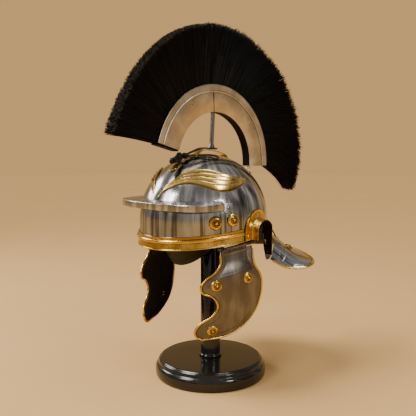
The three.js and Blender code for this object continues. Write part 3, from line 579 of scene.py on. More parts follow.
def set_out_tree():
    """Sets one shape on every point, turned to face out and along, at the point's own size."""
    tree, n, given = new_tree("set_out", ("Shape", "Object"), ("Size", "Float"), ("Finish", "Material"))
    shape = n.add("GeometryNodeObjectInfo", inputs={"Object": given["Shape"]}, output="Geometry")
    up = n.add("FunctionNodeAlignRotationToVector", {"axis": "Z"}, {"Vector": attribute(n, "facing", "FLOAT_VECTOR")})
    turned = n.add("FunctionNodeAlignRotationToVector", {"axis": "X", "pivot_axis": "Z"},
                   {"Rotation": up, "Vector": attribute(n, "along", "FLOAT_VECTOR")})
    size = attribute(n, "size") * given["Size"]
    copies = n.add("GeometryNodeInstanceOnPoints", inputs={
        "Points": given["Geometry"], "Instance": shape, "Rotation": turned, "Scale": n.vector(size, size, size)})
    close_tree(tree, n, copies, given["Finish"])
    return tree


def bristle_tree():
    """Grows bristles from a strip that carries the reach and the lean of each place."""
    tree, n, given = new_tree("bristles", ("Density", "Float"), ("Width", "Float"), ("Parts", "Int"),
                              ("Seed", "Int"), ("Finish", "Material"))
    roots = n.add("GeometryNodeDistributePointsOnFaces", {"distribute_method": "RANDOM"}, {
        "Mesh": given["Geometry"], "Density": given["Density"], "Seed": given["Seed"]})
    for k, name in enumerate(("shade", "stray", "short", "lean")):
        chance = n.add("FunctionNodeRandomValue", {"data_type": "FLOAT"}, {"Seed": 11 + k}, "Value_001")
        roots = n.add("GeometryNodeStoreNamedAttribute", {"data_type": "FLOAT", "domain": "POINT"},
                      {"Geometry": roots, "Name": name, "Value": chance})
    line = n.add("GeometryNodeMeshLine", inputs={"Count": given["Parts"], "Offset": (0, 0, 0.001)})
    strand = n.add("GeometryNodeMeshToCurve", inputs={"Mesh": line})
    strands = n.add("GeometryNodeInstanceOnPoints", inputs={"Points": roots, "Instance": strand})
    strands = n.add("GeometryNodeRealizeInstances", inputs={"Geometry": strands})
    share = n.add("GeometryNodeSplineParameter", output="Factor")
    side, reach, tip, root = (attribute(n, k) for k in ("side", "reach", "tip", "root"))
    ragged, lock = attribute(n, "ragged"), attribute(n, "lock")
    stray, short, lean = (attribute(n, k) - 0.5 for k in ("stray", "short", "lean"))
    inner = CREST_OUTER * MM
    uneven = (short + 0.5) ** 2.0
    clump = n.noise(n.vector(lock * 0.6, side * 0.8, 0.0), 1.0, 2.0) - 0.5
    phase = n.math("FRACT", lock + clump * 1.6) - 0.5
    off_lock = n.math("ABSOLUTE", phase) * 2.0
    far = reach - 0.001 - uneven * (ragged * 0.005 + 0.0016) - (off_lock * 0.0055 + clump * 0.013 + 0.0015) * ragged
    r = inner + (far - inner) * share
    bend = share * share
    turn = root + (tip - root) * share + (lean * 0.016 - phase * 0.012 + clump * 0.03) * bend
    x = side * (0.0072 + share * 0.0048) + stray * bend * 0.006
    y = n.math("COSINE", turn) * r + CREST_Y * MM
    z = n.math("SINE", turn) * r + CREST_Z * MM
    hair = n.add("GeometryNodeSetPosition", inputs={"Geometry": strands, "Position": n.vector(x, y, z)})
    hair = n.add("GeometryNodeStoreNamedAttribute", {"data_type": "FLOAT", "domain": "POINT"},
                 {"Geometry": hair, "Name": "share", "Value": share})
    profile = n.add("GeometryNodeCurvePrimitiveCircle", inputs={"Resolution": 3, "Radius": 0.5})
    body = n.add("GeometryNodeCurveToMesh", inputs={
        "Curve": hair, "Profile Curve": profile, "Scale": given["Width"] * (1.1 - share * 0.35), "Fill Caps": True})
    close_tree(tree, n, body, given["Finish"])
    return tree


def set_out(name, shape, spots, look, *nodes, rides=ROOT, hollow=None):
    """One mesh of the same shape at many spots: each a place, the way it faces, the way it runs, and its size."""
    tree = bpy.data.node_groups.get("set_out") or set_out_tree()
    master = linked(name + "_shape", mesh_from(name + "_shape", shape, hollow=hollow))
    places, facing, along, sizes = zip(*spots)
    cloud = bpy.data.meshes.new(name)
    cloud.from_pydata([tuple(np.asarray(at) * MM) for at in places], [], [])
    mark(cloud, "facing", [unit(way) for way in facing], "FLOAT_VECTOR")
    mark(cloud, "along", [unit(way) for way in along], "FLOAT_VECTOR")
    mark(cloud, "size", sizes)
    item = use_tree(linked(name, cloud), tree, Shape=master, Size=1.0, Finish=FINISHES[look])
    bpy.data.objects.remove(master)
    return settle(item, look, *nodes, rides=rides)


def spot_on(at, out, size, sign, along=(0, 0, 1)):
    """A spot for set_out on either side of the helmet."""
    flip = np.array([sign, 1, 1])
    return at * flip, out * flip, along, size * MM


# Places on the helmet
def on_skull(bearing, z, off=0.0):
    """Points of the skull's outer face at bearings from the front, in degrees, moved out by off."""
    bearing, z, off = np.broadcast_arrays(np.asarray(bearing, float), np.asarray(z, float), np.asarray(off, float))
    up = np.maximum(z - SKULL_Z, 0) / (SKULL_C + off)
    k = np.sqrt(np.maximum(1 - up**2, 0))
    flare = np.where(z < SKULL_Z, 0.8 * ((SKULL_Z - z) / 44) ** 2, 0)
    t = np.radians(bearing)
    return np.stack([((SKULL_A + off) * k + flare) * np.sin(t),
                     SKULL_Y - ((SKULL_B + off) * k + flare) * np.cos(t), z], -1)


def bearing_at(y, z, off=0.0):
    """The bearing at which the skull passes a place along Y at a height."""
    up = np.maximum(z - SKULL_Z, 0) / (SKULL_C + off)
    b = (SKULL_B + off) * np.sqrt(np.maximum(1 - up**2, 0))
    return np.degrees(np.arccos(np.clip((SKULL_Y - y) / b, -1, 1)))


def bearing_of(p):
    """The bearing of a point from the skull's axis."""
    return math.degrees(math.atan2(p[0] / SKULL_A, -(p[1] - SKULL_Y) / SKULL_B))


def skull_height(x, y, off=0.0):
    """The height of the skull's outer face over a place."""
    flat = (x / (SKULL_A + off)) ** 2 + ((y - SKULL_Y) / (SKULL_B + off)) ** 2
    return SKULL_Z + (SKULL_C + off) * np.sqrt(np.maximum(1 - flat, 0))


def skull_normal(p):
    """The way that the skull faces at a point."""
    return unit([p[0] / SKULL_A**2, (p[1] - SKULL_Y) / SKULL_B**2, max(p[2] - SKULL_Z, 0) / SKULL_C**2])


def rim_height(y):
    """The height of the skull's rim, which rises a little to the back."""
    return RIM_FRONT + RIM_RISE * (y - RIM_Y)


# The skull's lower edge behind the ears: bearings, heights and flare
NAPE_AT = (110, 120, 130, 140, 150, 180)
NAPE_EDGE = (220, 221, 240, 251, 256, 258)
NAPE_FLARE = (0, 8, 10, 10, 10, 10)


def nape(bearing):
    """The lower edge of the skull behind the ears, and how far it flares."""
    b = np.minimum(bearing, 360 - bearing)
    return table(b, NAPE_AT, NAPE_EDGE), np.interp(b, NAPE_AT, NAPE_FLARE)


def nape_point(bearing, z, off=0.0):
    """A point of the skull behind the ears, where it flares."""
    edge, flare = nape(bearing)
    t = np.clip((SKULL_Z - z) / (SKULL_Z - edge), 0, 1)
    return on_skull(bearing, z, off + flare * t**3)


# Half of the neck guard's rim, from the wing to the middle
NECK_RIM = ((130, 96, 201.5), (136, 107, 203.5), (136.5, 121, 206.5), (121, 143.5, 208.8),
            (97, 164.5, 210), (58, 186, 212.4), (0, 198, 218.5))
NECK_WALL, NECK_FROM, NECK_SAG, NECK_EDGING = 1.5, 119.0, 5.5, 2.0
NECK_CREASES = (0.16, 0.3)    # shares of the way out
NECK_LINE = through(NECK_RIM, LINE_STEPS)


def neck_point(u, v, drop=0.0):
    """A point of the neck guard, u from the left wing round to the right one and v outwards."""
    u, v = np.broadcast_arrays(np.asarray(u, float), np.asarray(v, float))
    half = np.minimum(u, 1 - u) * 2
    rim = np.stack([np.interp(half, np.linspace(0, 1, LINE_STEPS), column) for column in NECK_LINE.T], -1)
    bearing = NECK_FROM + (180 - NECK_FROM) * half
    p = nape_point(bearing, nape(bearing)[0], GAP + 0.8)
    p = p + (rim - p) * v[..., None]
    p[..., 2] -= NECK_SAG * np.sin(v * np.pi) + drop
    p[..., 0] *= np.where(u <= 0.5, 1, -1)
    return p


HINGE_ALONG = unit([0.136, 0.985, 0.102])
HINGE_START = np.array([94.9, -70.7, 249.1])
HINGE_OUT = unit(np.cross(HINGE_ALONG, [0, 0, 1]))
HINGE_FLAT = unit([HINGE_ALONG[0], HINGE_ALONG[1], 0])
CHEEK_WALL, CHEEK_EDGING = 1.4, 1.8
# The cheek guard's two edges from the hinge down: heights, and places along the hinge
CHEEK_FRONT = ((244.6, 1), (226, 0), (212, -11), (203, -24), (189, -33), (178, -29), (170, -13), (156, -5),
               (141, -12), (128, -31), (113, -38), (103, -34), (97, -24))
CHEEK_REAR = ((251, 68.6), (233, 67.5), (218, 71), (203, 81), (187, 85.5), (165, 83), (140, 74), (122, 60),
              (111, 45), (103, 28), (98.5, 12), (97.5, 0))


def on_hinge(s, out=0.0, up=0.0):
    """A point by its place along the left hinge, moved out and up."""
    return HINGE_START + HINGE_ALONG * s + HINGE_OUT * out + np.array([0, 0, up])


def cheek_point(s, z, out=0.0):
    """A point of the cheek guard by its place along the hinge and its height, moved out by a distance."""
    s, z, out = (np.asarray(k, float)[..., None] for k in np.broadcast_arrays(s, z, out))
    h = 250 - z
    bend = np.minimum(s - 53, 0)
    w = -bend**2 / 364 + 0.195 * h - 0.0015 * h * h
    return HINGE_START * (1, 1, 0) + HINGE_FLAT * s + HINGE_OUT * (w + out) + z * np.array([0, 0, 1.0])


def cheek_normal(s, z):
    """The way that the cheek guard faces at a place."""
    p = cheek_point(s, z)
    n = unit(np.cross(cheek_point(s + 1, z) - p, cheek_point(s, z - 1) - p))
    return n if n[0] > 0 else -n


def cheek_outline(inset, rows):
    """The cheek guard's two edges moved in by a distance, as rows of place and height."""
    sides = []
    for edge, sign in ((CHEEK_FRONT, 1), (CHEEK_REAR, -1)):
        line = through([(s, 0, z) for z, s in edge], rows + 1, even=False)
        along = unit(np.gradient(line, axis=0))
        along[-1] = (0.9 * sign, 0, -0.44)
        sides.append(np.stack([line[:, 0] - along[:, 2] * sign * inset, line[:, 2] + along[:, 0] * sign * inset], -1))
    return sides


def crest_point(r, angle, x):
    """A point by its distance and angle round the crest's centre, and its place across."""
    r, angle, x = np.broadcast_arrays(np.asarray(r, float), np.asarray(angle, float), np.asarray(x, float))
    t = np.radians(angle)
    return np.stack([x, CREST_Y + r * np.cos(t), CREST_Z + r * np.sin(t)], -1)


def crest_foot(r, foot=CREST_FOOT):
    """The angle at which a circle round the crest's centre comes down to a height."""
    return np.degrees(np.arcsin((foot - CREST_Z) / np.asarray(r, float)))


# The plume's outline: angles round the crest's centre, and distances from it
TIPS = ((-15, 238), (-8, 247), (0, 252), (12, 256), (42, 256), (61, 251), (80, 249), (97, 245), (114, 239),
        (132, 232), (155, 229.5), (167, 235))
TIP_LINE = through([(a, r, 0) for a, r in TIPS], LINE_STEPS)
KEEPER_FROM, KEEPER_TO, KEEPER_HALF, KEEPER_RISE, KEEPER_THICK = -44.0, 46.0, 7.0, 5.4, 1.3


def tip_at(share):
    """The angle and the distance of the plume's tips, by the share of the way from rear to front."""
    return [np.interp(share, np.linspace(0, 1, LINE_STEPS), column) for column in TIP_LINE.T[:2]]


def keeper_low(y):
    """The height of the crown keeper's underside."""
    rise = KEEPER_RISE * smooth(y, KEEPER_FROM + 6, KEEPER_FROM + 22) * (1 - smooth(y, KEEPER_TO - 14, KEEPER_TO - 3))
    return skull_height(0, y, GAP + 0.2) + rise


RING_CREST = np.array([0, 101.5, 372.3])
RING_NECK = np.array([0, 193.6, float(neck_point(0.5, 0.93)[2]) + 6.1])
REAR_TIE = ((0, 106.7, 367.1), (0, 121, 337), (0, 139, 303), (0, 158, 272), (0, 175, 250),
            (0, RING_NECK[1] - 3.5, RING_NECK[2] + 4.1))
CREST_RING_R, NECK_RING_R, RING_WIRE, KNOT_CORD = 6.0, 4.2, 0.9, 1.5
# Places of the knot's lumps and of the thongs: x, y, height over the skull, and for a lump its radius
KNOT = ((-4, -86, 10, 6), (5, -83, 10.5, 6.4), (1, -76, 10, 7), (6, -68, 8, 5.5))
ROUND_POST = ((3, -70, 9), (3, -46, 7), (4, -24, 9.6), (6, -5, 10), (6, 9, 11), (0, 15, 11.6), (-6, 9, 11),
              (-6, -5, 10), (-4, -24, 9.6), (-2, -46, 7), (0, -74, 9))
ON_SKULL = ((6, -70, 8), (17, -56, 2.6), (31, -40, 2.2), (42, -28, 2.2), (39, -20, 2.4), (29, -26, 2.4),
            (17, -44, 2.8), (5, -66, 8))
# Profiles of a rosette and of a rivet's head: shares of the radius, and heights
ROSETTE = ((0, 0), (1, 0), (1.0, 0.05), (0.97, 0.1), (0.9, 0.19), (0.8, 0.27), (0.7, 0.33), (0.62, 0.355),
           (0.57, 0.35), (0.54, 0.3), (0.5, 0.3), (0.47, 0.36), (0.43, 0.4), (0.38, 0.4), (0.35, 0.35),
           (0.31, 0.31), (0.27, 0.33), (0.25, 0.44), (0.2, 0.54), (0.12, 0.6), (0, 0.62))
RIVET = ((0, 0), (1, 0), (1, 0.12), (0.92, 0.3), (0.75, 0.46), (0.5, 0.57), (0.25, 0.62), (0, 0.63))


def on_side(y, z, off):
    """A point of the skull's left side by its place along Y and its height."""
    return on_skull(bearing_at(y, z, off), z, off)


class HelmetSizes(bpy.types.PropertyGroup):
    """Sizes that a user may change"""
    bristles: bpy.props.IntProperty(name="Bristles", default=9000, min=500, max=9400,
                                    description="Bristles in each third of the plume")
    bristle_width: bpy.props.FloatProperty(name="Bristle width", default=0.00075, unit="LENGTH",
                                           description="Thickness of one bristle at its root")
    brow_relief: bpy.props.FloatProperty(name="Brow relief", default=0.0033, unit="LENGTH",
                                         description="Height of the feathers on the brow")
    bead: bpy.props.FloatProperty(name="Bead", default=0.0033, unit="LENGTH",
                                  description="Radius of the half-round bead on the front band")
    thong: bpy.props.FloatProperty(name="Thong", default=0.0026, unit="LENGTH",
                                   description="Thickness of the leather thongs")
    lobes: bpy.props.IntProperty(name="Rosette lobes", default=10, min=0, max=24,
                                 description="Lobes round the edge of a rosette")


def tint(name, default, description):
    """A colour that a user may change."""
    return bpy.props.FloatVectorProperty(name=name, subtype="COLOR", size=3, min=0, max=1,
                                         default=default, description=description)


class HelmetColours(bpy.types.PropertyGroup):
    """Colours that a user may change"""
    steel: tint("Steel", (0.66, 0.67, 0.68), "Polished steel of the skull")
    cheek: tint("Cheek steel", (0.215, 0.20, 0.18), "Browner steel of the cheek guards")
    bar: tint("Bar steel", (0.44, 0.455, 0.47), "Steel of the brow guard and the post")
    crest: tint("Crest sheet", (0.72, 0.62, 0.47), "Warm sheet of the crest box")
    brass: tint("Brass", (0.84, 0.55, 0.13), "Brass of the bands, edges and rosettes")
    gilt: tint("Gilt", (0.95, 0.69, 0.26), "Pale gold of the brow relief")
    lacquer: tint("Lacquer", (0.008, 0.007, 0.0065), "Black lacquer of the stand")
    leather: tint("Leather", (0.005, 0.0042, 0.0038), "Black leather")
    bristle: tint("Bristle", (0.0035, 0.003, 0.0028), "Black bristles of the plume")
    floor: tint("Floor", (0.60, 0.37, 0.15), "Pale floor")
    air: tint("Surroundings", (0.66, 0.39, 0.15), "Light from all round")


class HELMET_OT_finishes(bpy.types.Operator):
    """Makes the finishes that the pieces share"""
    bl_idname = "helmet.finishes"
    bl_label = "Finishes"

    def execute(self, context):
        make_finishes(context.scene.helmet_colours)
        return {"FINISHED"}


CAMERA_FILM, CAMERA_LENS = 36, 52.01    # millimetres
CAMERA_AT, CAMERA_TURN = (0.7637, -0.7637, 0.424), (83.75, 0, 45.24)
FLOOR_AT, LIT = -0.0002, (0, 0, 0.3)    # the floor's height, and the place that every light faces
# Name, kind, place, size (an angle for the sun), power and colour of each light
LIGHTS = (
    ("key", "SUN", (-0.5, -0.62, 1.9), 0.4, 2.9, (1, 0.95, 0.87)),
    ("softbox", "AREA", (-0.3, -1.25, 1.15), 0.55, 11, (1, 0.97, 0.93)),
    ("left", "AREA", (-1.35, -0.45, 1.0), 0.6, 11, (1, 0.97, 0.93)),
    ("side", "AREA", (1.3, -0.05, 0.85), 0.25, 5, (1, 0.95, 0.88)),
    ("top", "AREA", (0.45, 0.1, 1.6), 0.5, 6, (1, 0.97, 0.93)),
)


class HELMET_OT_stage(bpy.types.Operator):
    """Sets the camera, the floor and the lights"""
    bl_idname = "helmet.stage"
    bl_label = "Stage"

    def execute(self, context):
        scene = context.scene
        camera = bpy.data.cameras.new("camera")
        camera.sensor_width, camera.lens = CAMERA_FILM, CAMERA_LENS
        scene.camera = linked("camera", camera)
        scene.camera.location = CAMERA_AT
        scene.camera.rotation_euler = [math.radians(angle) for angle in CAMERA_TURN]

        rings = lathe([(radius, 0) for radius in (7000, 3000, 1200, 400, 1)], 64)
        floor = linked("floor", mesh_from("floor", rings, ["pale_floor"]))
        floor.location.z = FLOOR_AT

        for name, kind, at, size, power, colour in LIGHTS:
            lamp = bpy.data.lights.new(name, kind)
            setattr(lamp, "angle" if kind == "SUN" else "size", size)
            lamp.energy, lamp.color = power, colour
            item = linked(name, lamp)
            item.location = at
            item.rotation_euler = (Vector(LIT) - Vector(at)).to_track_quat("-Z", "Y").to_euler()

        world = bpy.data.worlds.new("surroundings")
        world.use_nodes = True
        n = Nodes(world.node_tree)
        x, y, z = n.split(n.add("ShaderNodeTexCoord", output="Generated"))
        ground = tuple(scene.helmet_colours.air)
        side = n.between(n.noise(n.vector(x, y, z * 0.25), 3.2, 1.0), 0.44, 0.56)
        tone = n.mix(side, (0.05, 0.045, 0.04), (0.62, 0.54, 0.45))
        tone = n.mix(n.between(z, 0.3, 0.9), tone, (0.36, 0.335, 0.30))
        tone = n.mix(n.between(z, 0.03, 0.3, 1.0, 0.0) * 0.75, tone, (0.34, 0.27, 0.19))
        tone = n.mix(n.between(y - x, 0.7, 1.3), tone, dark(ground, 0.8))
        seen = n.add("ShaderNodeLightPath", output="Is Camera Ray")
        n.put(world.node_tree.nodes["Background"].inputs["Color"], n.mix(seen, tone, ground))
        scene.world = world
        return {"FINISHED"}


class HELMET_OT_laces(bpy.types.Operator):
    """Ties the leather thongs on the crown and at the back"""
    bl_idname = "helmet.laces"
    bl_label = "Laces"

    def execute(self, context):
        width = context.scene.helmet_sizes.thong / MM
        rings = []
        chance = np.random.default_rng(5)
        bead = lathe([(0, -0.6), (0.42, -0.5), (0.6, 0), (0.42, 0.5), (0, 0.6)], 10)
        turn = np.linspace(0, 2 * np.pi, 25)[:-1, None]
        for x, y, up, r in KNOT:
            middle = np.array([x, y, skull_height(x, y) + up])
            for k in range(4):
                a, b = unit(chance.normal(size=3)), unit(chance.normal(size=3))
                b = unit(b - a * a.dot(b))
                big = r - 0.3 - 0.9 * (k % 3)
                line = middle + np.cos(turn) * a * big + np.sin(turn) * b * big * 0.72
                rings.append(tube(line, KNOT_CORD, 8, closed=True))
            rings.append((bead[0] * (r + 1.2) + middle, *bead[1:]))
        knot = piece("lace_knot", together(*rings), "black_leather", "crest_lace")

        def thong(name, rows, count, lay, *nodes, **more):
            line = through(rows, count)
            cord = piece(name, tube(line, width / 2, 10), "black_leather", *nodes)
            line[0] * MM
            (line * MM).tolist()

        def lifted(rows):
            return [(x, y, float(skull_height(x, y)) + up) for x, y, up in rows]

        thong("lace_round_post", lifted(ROUND_POST), 40, "taut", with_pieces=[knot])
        thong("lace_on_skull", lifted(ON_SKULL), 36, "loose")
        thong("rear_tie_thong", REAR_TIE, 36, "hanging", "rear_tie")
        turn = np.linspace(0, 2 * np.pi, 41)[:-1, None]
        for name, middle, r in (("crest", RING_CREST, CREST_RING_R), ("neck", RING_NECK, NECK_RING_R)):
            ring = middle + np.cos(turn) * np.array([0, 1, 0]) * r + np.sin(turn) * np.array([0, 0, 1]) * r
            piece(name + "_wire_ring", tube(ring, RING_WIRE, 10, closed=True), "bar_steel", name + "_ring")
        return {"FINISHED"}


class HELMET_OT_stand(bpy.types.Operator):
    """Turns the base and the post of the stand"""
    bl_idname = "helmet.stand"
    bl_label = "Stand"

    def execute(self, context):
        r, t, h = STAND_RADIUS, STAND_TOP, STAND_HEIGHT
        base = [(0, 0), (r - 3.4, 0), (r - 2.1, 0.4), (r - 0.8, 2.4), (r, 6), (r, 14), (r - 0.7, 17.5), (r - 2, 20),
                (r - 3.4, 21.8), (r - 4.8, 22.8), (r - 5.6, 24), (r - 5.9, 26), (r - 6.3, 28), (r - 7.2, 29.4),
                (t + 0.6, 30), (t - 0.1, 30.6), (t - 0.8, h - 0.5), (t - 1.8, h - 0.1), (t - 3, h),
                (t * 0.5, h), (0, h)]
        piece("turned_base", lathe(base, 128), "black_lacquer", "stand_base", sharp=50)
        p, low = POST_RADIUS, STAND_HEIGHT + GAP
        post = [(0, low), (p + 1.6, low), (p + 2.3, low + 0.6), (p + 2.4, low + 2.4), (p + 1.8, low + 3.6),
                (p + 0.7, low + 4.4), (p + 0.1, low + 5.6), (p, low + 7), (p, POST_TOP - 3.4),
                (p - 1.6, POST_TOP - 2), (p - 6, POST_TOP - 0.7), (0, POST_TOP)]
        piece("turned_post", lathe(post, 64), "black_lacquer", "stand_post", sharp=50)
        return {"FINISHED"}


CROWN_ROWS, SIDE_ROWS = 44, 26
RIM_TO_NAPE = (100, 110)    # bearings between which the rim drops to the nape's edge


class HELMET_OT_skull(bpy.types.Operator):
    """Raises the steel skull and cuts its ear openings"""
    bl_idname = "helmet.skull"
    bl_label = "Skull"

    def execute(self, context):
        bearings = np.arange(0, 360, 2.0)
        folded = np.minimum(bearings, 360 - bearings)
        rim = rim_height(on_skull(folded, SKULL_Z)[:, 1])
        rim_end, nape_start = RIM_TO_NAPE
        low = np.where(folded <= rim_end, rim, nape(bearings)[0])
        step = np.interp(folded, RIM_TO_NAPE, (261.6, NAPE_EDGE[0]))
        low = np.where((folded > rim_end) & (folded < nape_start), step, low)

        def grid(off):
            rows = []
            for up in np.cos(np.radians(np.linspace(0, 90, CROWN_ROWS))):
                rows.append(on_skull(bearings, SKULL_Z + (SKULL_C + off) * up, off))
            for t in np.linspace(0, 1, SIDE_ROWS)[1:]:
                z = SKULL_Z + (low - SKULL_Z) * t
                behind = (bearings > EAR_AHEAD) & (bearings < 360 - EAR_AHEAD)
                rows.append(np.where(behind[:, None], nape_point(bearings, z, off), on_skull(bearings, z, off)))
            return np.stack(rows)

        looks = ("polished_steel", "black_paint")
        outer = grid(0)
        # Painted shade round the ear opening, where the ear flange sits on the skull: full within 27 mm of the ear,
        # gone by 34 mm.
        across, up = outer[..., 1] - EAR_Y, outer[..., 2] - EAR_Z
        near_ear = np.where(up > 0, np.hypot(across, up), np.abs(across - 5 * smooth(-up, 0, 50)))
        bowl = wall(outer, grid(-SKULL_WALL), closed=True, inside=1)
        skull = linked("skull", mesh_from("skull", bowl, looks, hollow=1 - smooth(near_ear, 27, 34)))
        turn = np.radians(np.linspace(180, 0, 41))
        arch = [(EAR_Y + EAR_RADIUS * math.cos(t), EAR_Z + EAR_RADIUS * math.sin(t)) for t in turn]
        outline = [(EAR_Y - EAR_RADIUS, EAR_Z - 80), *arch, (EAR_Y + EAR_RADIUS + 9, EAR_Z - 80)]
        prism = loft([[(x, y, z) for y, z in outline] for x in (-150, 150)], part=1)
        cutter = linked("cutter", mesh_from("cutter", prism, looks))
        cut = skull.modifiers.new("ears", "BOOLEAN")
        cut.operation = "DIFFERENCE"
        cut.solver = "EXACT"
        cut.object = cutter
        plain(skull)
        bpy.data.objects.remove(cutter)
        settle(skull, "polished_steel", "skull_bowl")
        return {"FINISHED"}


class HELMET_OT_neck_guard(bpy.types.Operator):
    """Spreads the neck guard, with its creases and its brass edge"""
    bl_idname = "helmet.neck_guard"
    bl_label = "Neck guard"

    def execute(self, context):
        u, v = np.meshgrid(np.linspace(0, 1, 161), np.linspace(0, 1, 41))
        half = np.minimum(u, 1 - u) * 2
        crease = sum(1.5 * np.exp(-((v - at - 0.06 * np.cos(half * 3)) / 0.03) ** 2) for at in NECK_CREASES)
        crease = (crease + smooth(v, 0.66, 0.72) * (1 - smooth(v, 0.93, 1.0))) * smooth(half, 0.0, 0.08)
        sheet = wall(neck_point(u, v, -crease), neck_point(u, v, NECK_WALL), inside=1)
        # Painted shade along the outer rim, under the brass edging.
        piece("neck_sheet", sheet, ("polished_steel", "black_paint"), "neck_guard",
              hollow=smooth(v, 0.95, 1.0) * 0.9)
        side = np.array([0.1, 0.3, 0.5, 0.7, 0.86])
        route = ((0, side), (np.linspace(0, 1, 121), 1), (1, side[::-1]))
        line = np.concatenate([neck_point(*way, NECK_WALL / 2) for way in route])
        along = unit(np.gradient(line, axis=0) * (1, 1, 0))
        off = NECK_EDGING + GAP + 0.1
        line = line + np.stack([along[:, 1], -along[:, 0], np.zeros(len(line))], -1) * off
        piece("neck_edge", tube(through(line[::2], 170), NECK_EDGING), "brass", "neck_guard_edging")
        return {"FINISHED"}


class HELMET_OT_front_band(bpy.types.Operator):
    """Rolls the brass band with its half-round bead"""
    bl_idname = "helmet.front_band"
    bl_label = "Front band"

    def execute(self, context):
        r = context.scene.helmet_sizes.bead / MM
        half = [(1.7 + r * math.cos(t), BAND_BEAD + r * math.sin(t)) for t in np.radians(np.linspace(-90, 90, 13))]
        section = [(0.4, 0), (2.2, 0), (2.7, 0.5), (2.7, 1.5), (2.1, 2.1), (1.95, 3), (1.85, 10.3), *half,
                   (1.7, 18.7), (1.7, 19.3), (1.7, 19.9), (2.3, 20.3), (2.3, 21.4), (0.4, 22)]
        # Painted shade in the grooves beside the bead and at the band's lips, one number for each point of the
        # section.
        shade_marks = np.array([0.3, 0.2, 0, 0, 0.8, 0, 0, 0.9, 0.3, *[0] * 9, 0.3, 0.9, 0, 0, 0.6, 0, 0.2, 0.3])
        rings = []
        for b in np.linspace(-BAND_END, BAND_END, 141):
            low = rim_height(on_skull(b, SKULL_Z)[1]) + 0.4
            nick = sum(math.exp(-((b - at) / 0.45) ** 2) for at in BAND_NICKS)
            rings.append([on_skull(b, low + up, off - (0.9 * nick if off > 3 else 0)) for off, up in section])
        piece("brow_band", loft(rings), "brass", "front_band", hollow=np.tile(shade_marks, len(rings)))
        return {"FINISHED"}


class HELMET_OT_brow_guard(bpy.types.Operator):
    """Bends the steel bar across the brow, with its two tabs"""
    bl_idname = "helmet.brow_guard"
    bl_label = "Brow guard"

    def execute(self, context):
        def round_out(x):
            return math.copysign(abs(x) ** 0.8, x)

        stations = [(b, None) for b in np.linspace(74, 66.2, 12)]
        stations.append((None, (104.6, -72)))
        for t in np.radians(np.arange(90, -0.1, -2.5)):
            x, reach = GUARD_HALF * round_out(math.sin(t)), GUARD_REACH * round_out(math.cos(t))
            stations.append((None, (x, GUARD_Y - reach)))
        stations += [(None if b is None else -b, None if out is None else (-out[0], out[1]))
                     for b, out in stations[-2::-1]]
        rings = []
        for bearing, out in stations:
            if bearing is not None:
                curve = math.sqrt(max(1 - ((abs(bearing) - 70) / 4.3) ** 2, 0))
                low, top = 317.5 - 9 * curve, GUARD_TOP - 1.6 * (1 - curve)
                rows = [(low + 0.4, 1.9), ((low + top) / 2, 2.2), (top - 0.3, 2.1), (top, 1.6), (top, 1.0),
                        (top - 0.6, 0.6), ((low + top) / 2, 0.6), (low, 0.6)]
                rings.append([on_skull(bearing, z, off) for z, off in rows])
                continue
            spot = np.array([*out, 0.0])
            inward = -1.8 * unit([out[0], out[1] - SKULL_Y, 0])
            b = bearing_of(spot)

            def face(z, inset):
                return spot + inward * inset + (0, 0, z)

            seat = [on_skull(b, GUARD_TOP + up, GAP + 0.3) for up in (3, 1.2)]
            rings.append([face(GUARD_LOW, 0.12), face(GUARD_LOW + 0.5, 0), face(GUARD_TOP - 0.7, 0),
                          face(GUARD_TOP, 0.3), *seat, face(GUARD_TOP - 1.8, 1), face(GUARD_LOW, 1)])
        piece("brow_bar", loft(rings), "bar_steel", "brow_guard", sharp=30)
        return {"FINISHED"}


# Each row: a place from front to back, the relief's low and high edge across, and the strength of its lift
BROW = ((-129, 4, 2, 0.1), (-122, 17, 10, 0.3), (-112, 31, 20, 0.6), (-100, 46, 27, 0.85), (-85, 65, 36, 1),
        (-70, 79, 48, 1), (-52, 87.5, 64, 1), (-34, 90.5, 76, 1), (-16, 89, 81, 0.85), (2, 83.5, 81, 0.35))
BROW_STEPS, BROW_ROWS, FEATHERS = 121, 49, 4


class HELMET_OT_eyebrows(bpy.types.Operator):
    """Embosses the two brows of long feathers"""
    bl_idname = "helmet.eyebrows"
    bl_label = "Brow relief"

    def execute(self, context):
        relief = context.scene.helmet_sizes.brow_relief / MM
        low = through([(a, y, s) for y, a, _, s in BROW], BROW_STEPS, even=False)
        top = through([(b, y, s) for y, _, b, s in BROW], BROW_STEPS, even=False)
        t = np.linspace(0, 1, BROW_STEPS)[:, None]
        w = np.linspace(0, 1, BROW_ROWS)[None, :]
        p = low[:, None] + (top - low)[:, None] * w[..., None]
        lane = w * FEATHERS + 0.5 * np.sin(t * np.pi) * w * (1 - w)
        number = np.minimum(np.floor(lane), FEATHERS - 1)
        across = np.clip(lane - number, 0, 1)
        ridge = 1 - np.abs(2 * across - 1) ** 1.5
        start = np.array([0.0, 0.02, 0.05, 0.08])[number.astype(int)]
        strength = smooth(t, start, start + 0.1) * (1 - 0.4 * smooth(t, 0.93, 1.0))
        lift = 0.8 * strength - 0.6 + relief * ridge * np.maximum(p[..., 2], 0.5) * strength
        vein = np.exp(-((across - 0.5) / 0.07) ** 2) * strength
        lift = lift - 0.35 * vein
        # Painted shade in the valleys between the feathers and along each feather's middle vein, weaker at the rear
        # end.
        valley = np.exp(-((np.minimum(across, 1 - across)) / 0.2) ** 2)
        hollow = np.clip(valley * 0.95 + 0.45 * vein, 0, 1) * (1 - 0.6 * smooth(t, 0.9, 1.0))
        x, y = p[..., 0], p[..., 1]
        outer, inner = (np.stack([x, y, skull_height(x, y, off)], -1) for off in (GAP + 0.1 + lift, GAP - 0.1))
        both("brow_relief_{}", wall(outer, inner), "gilt_relief", "eyebrow_{}", sharp=60, hollow=hollow)
        return {"FINISHED"}


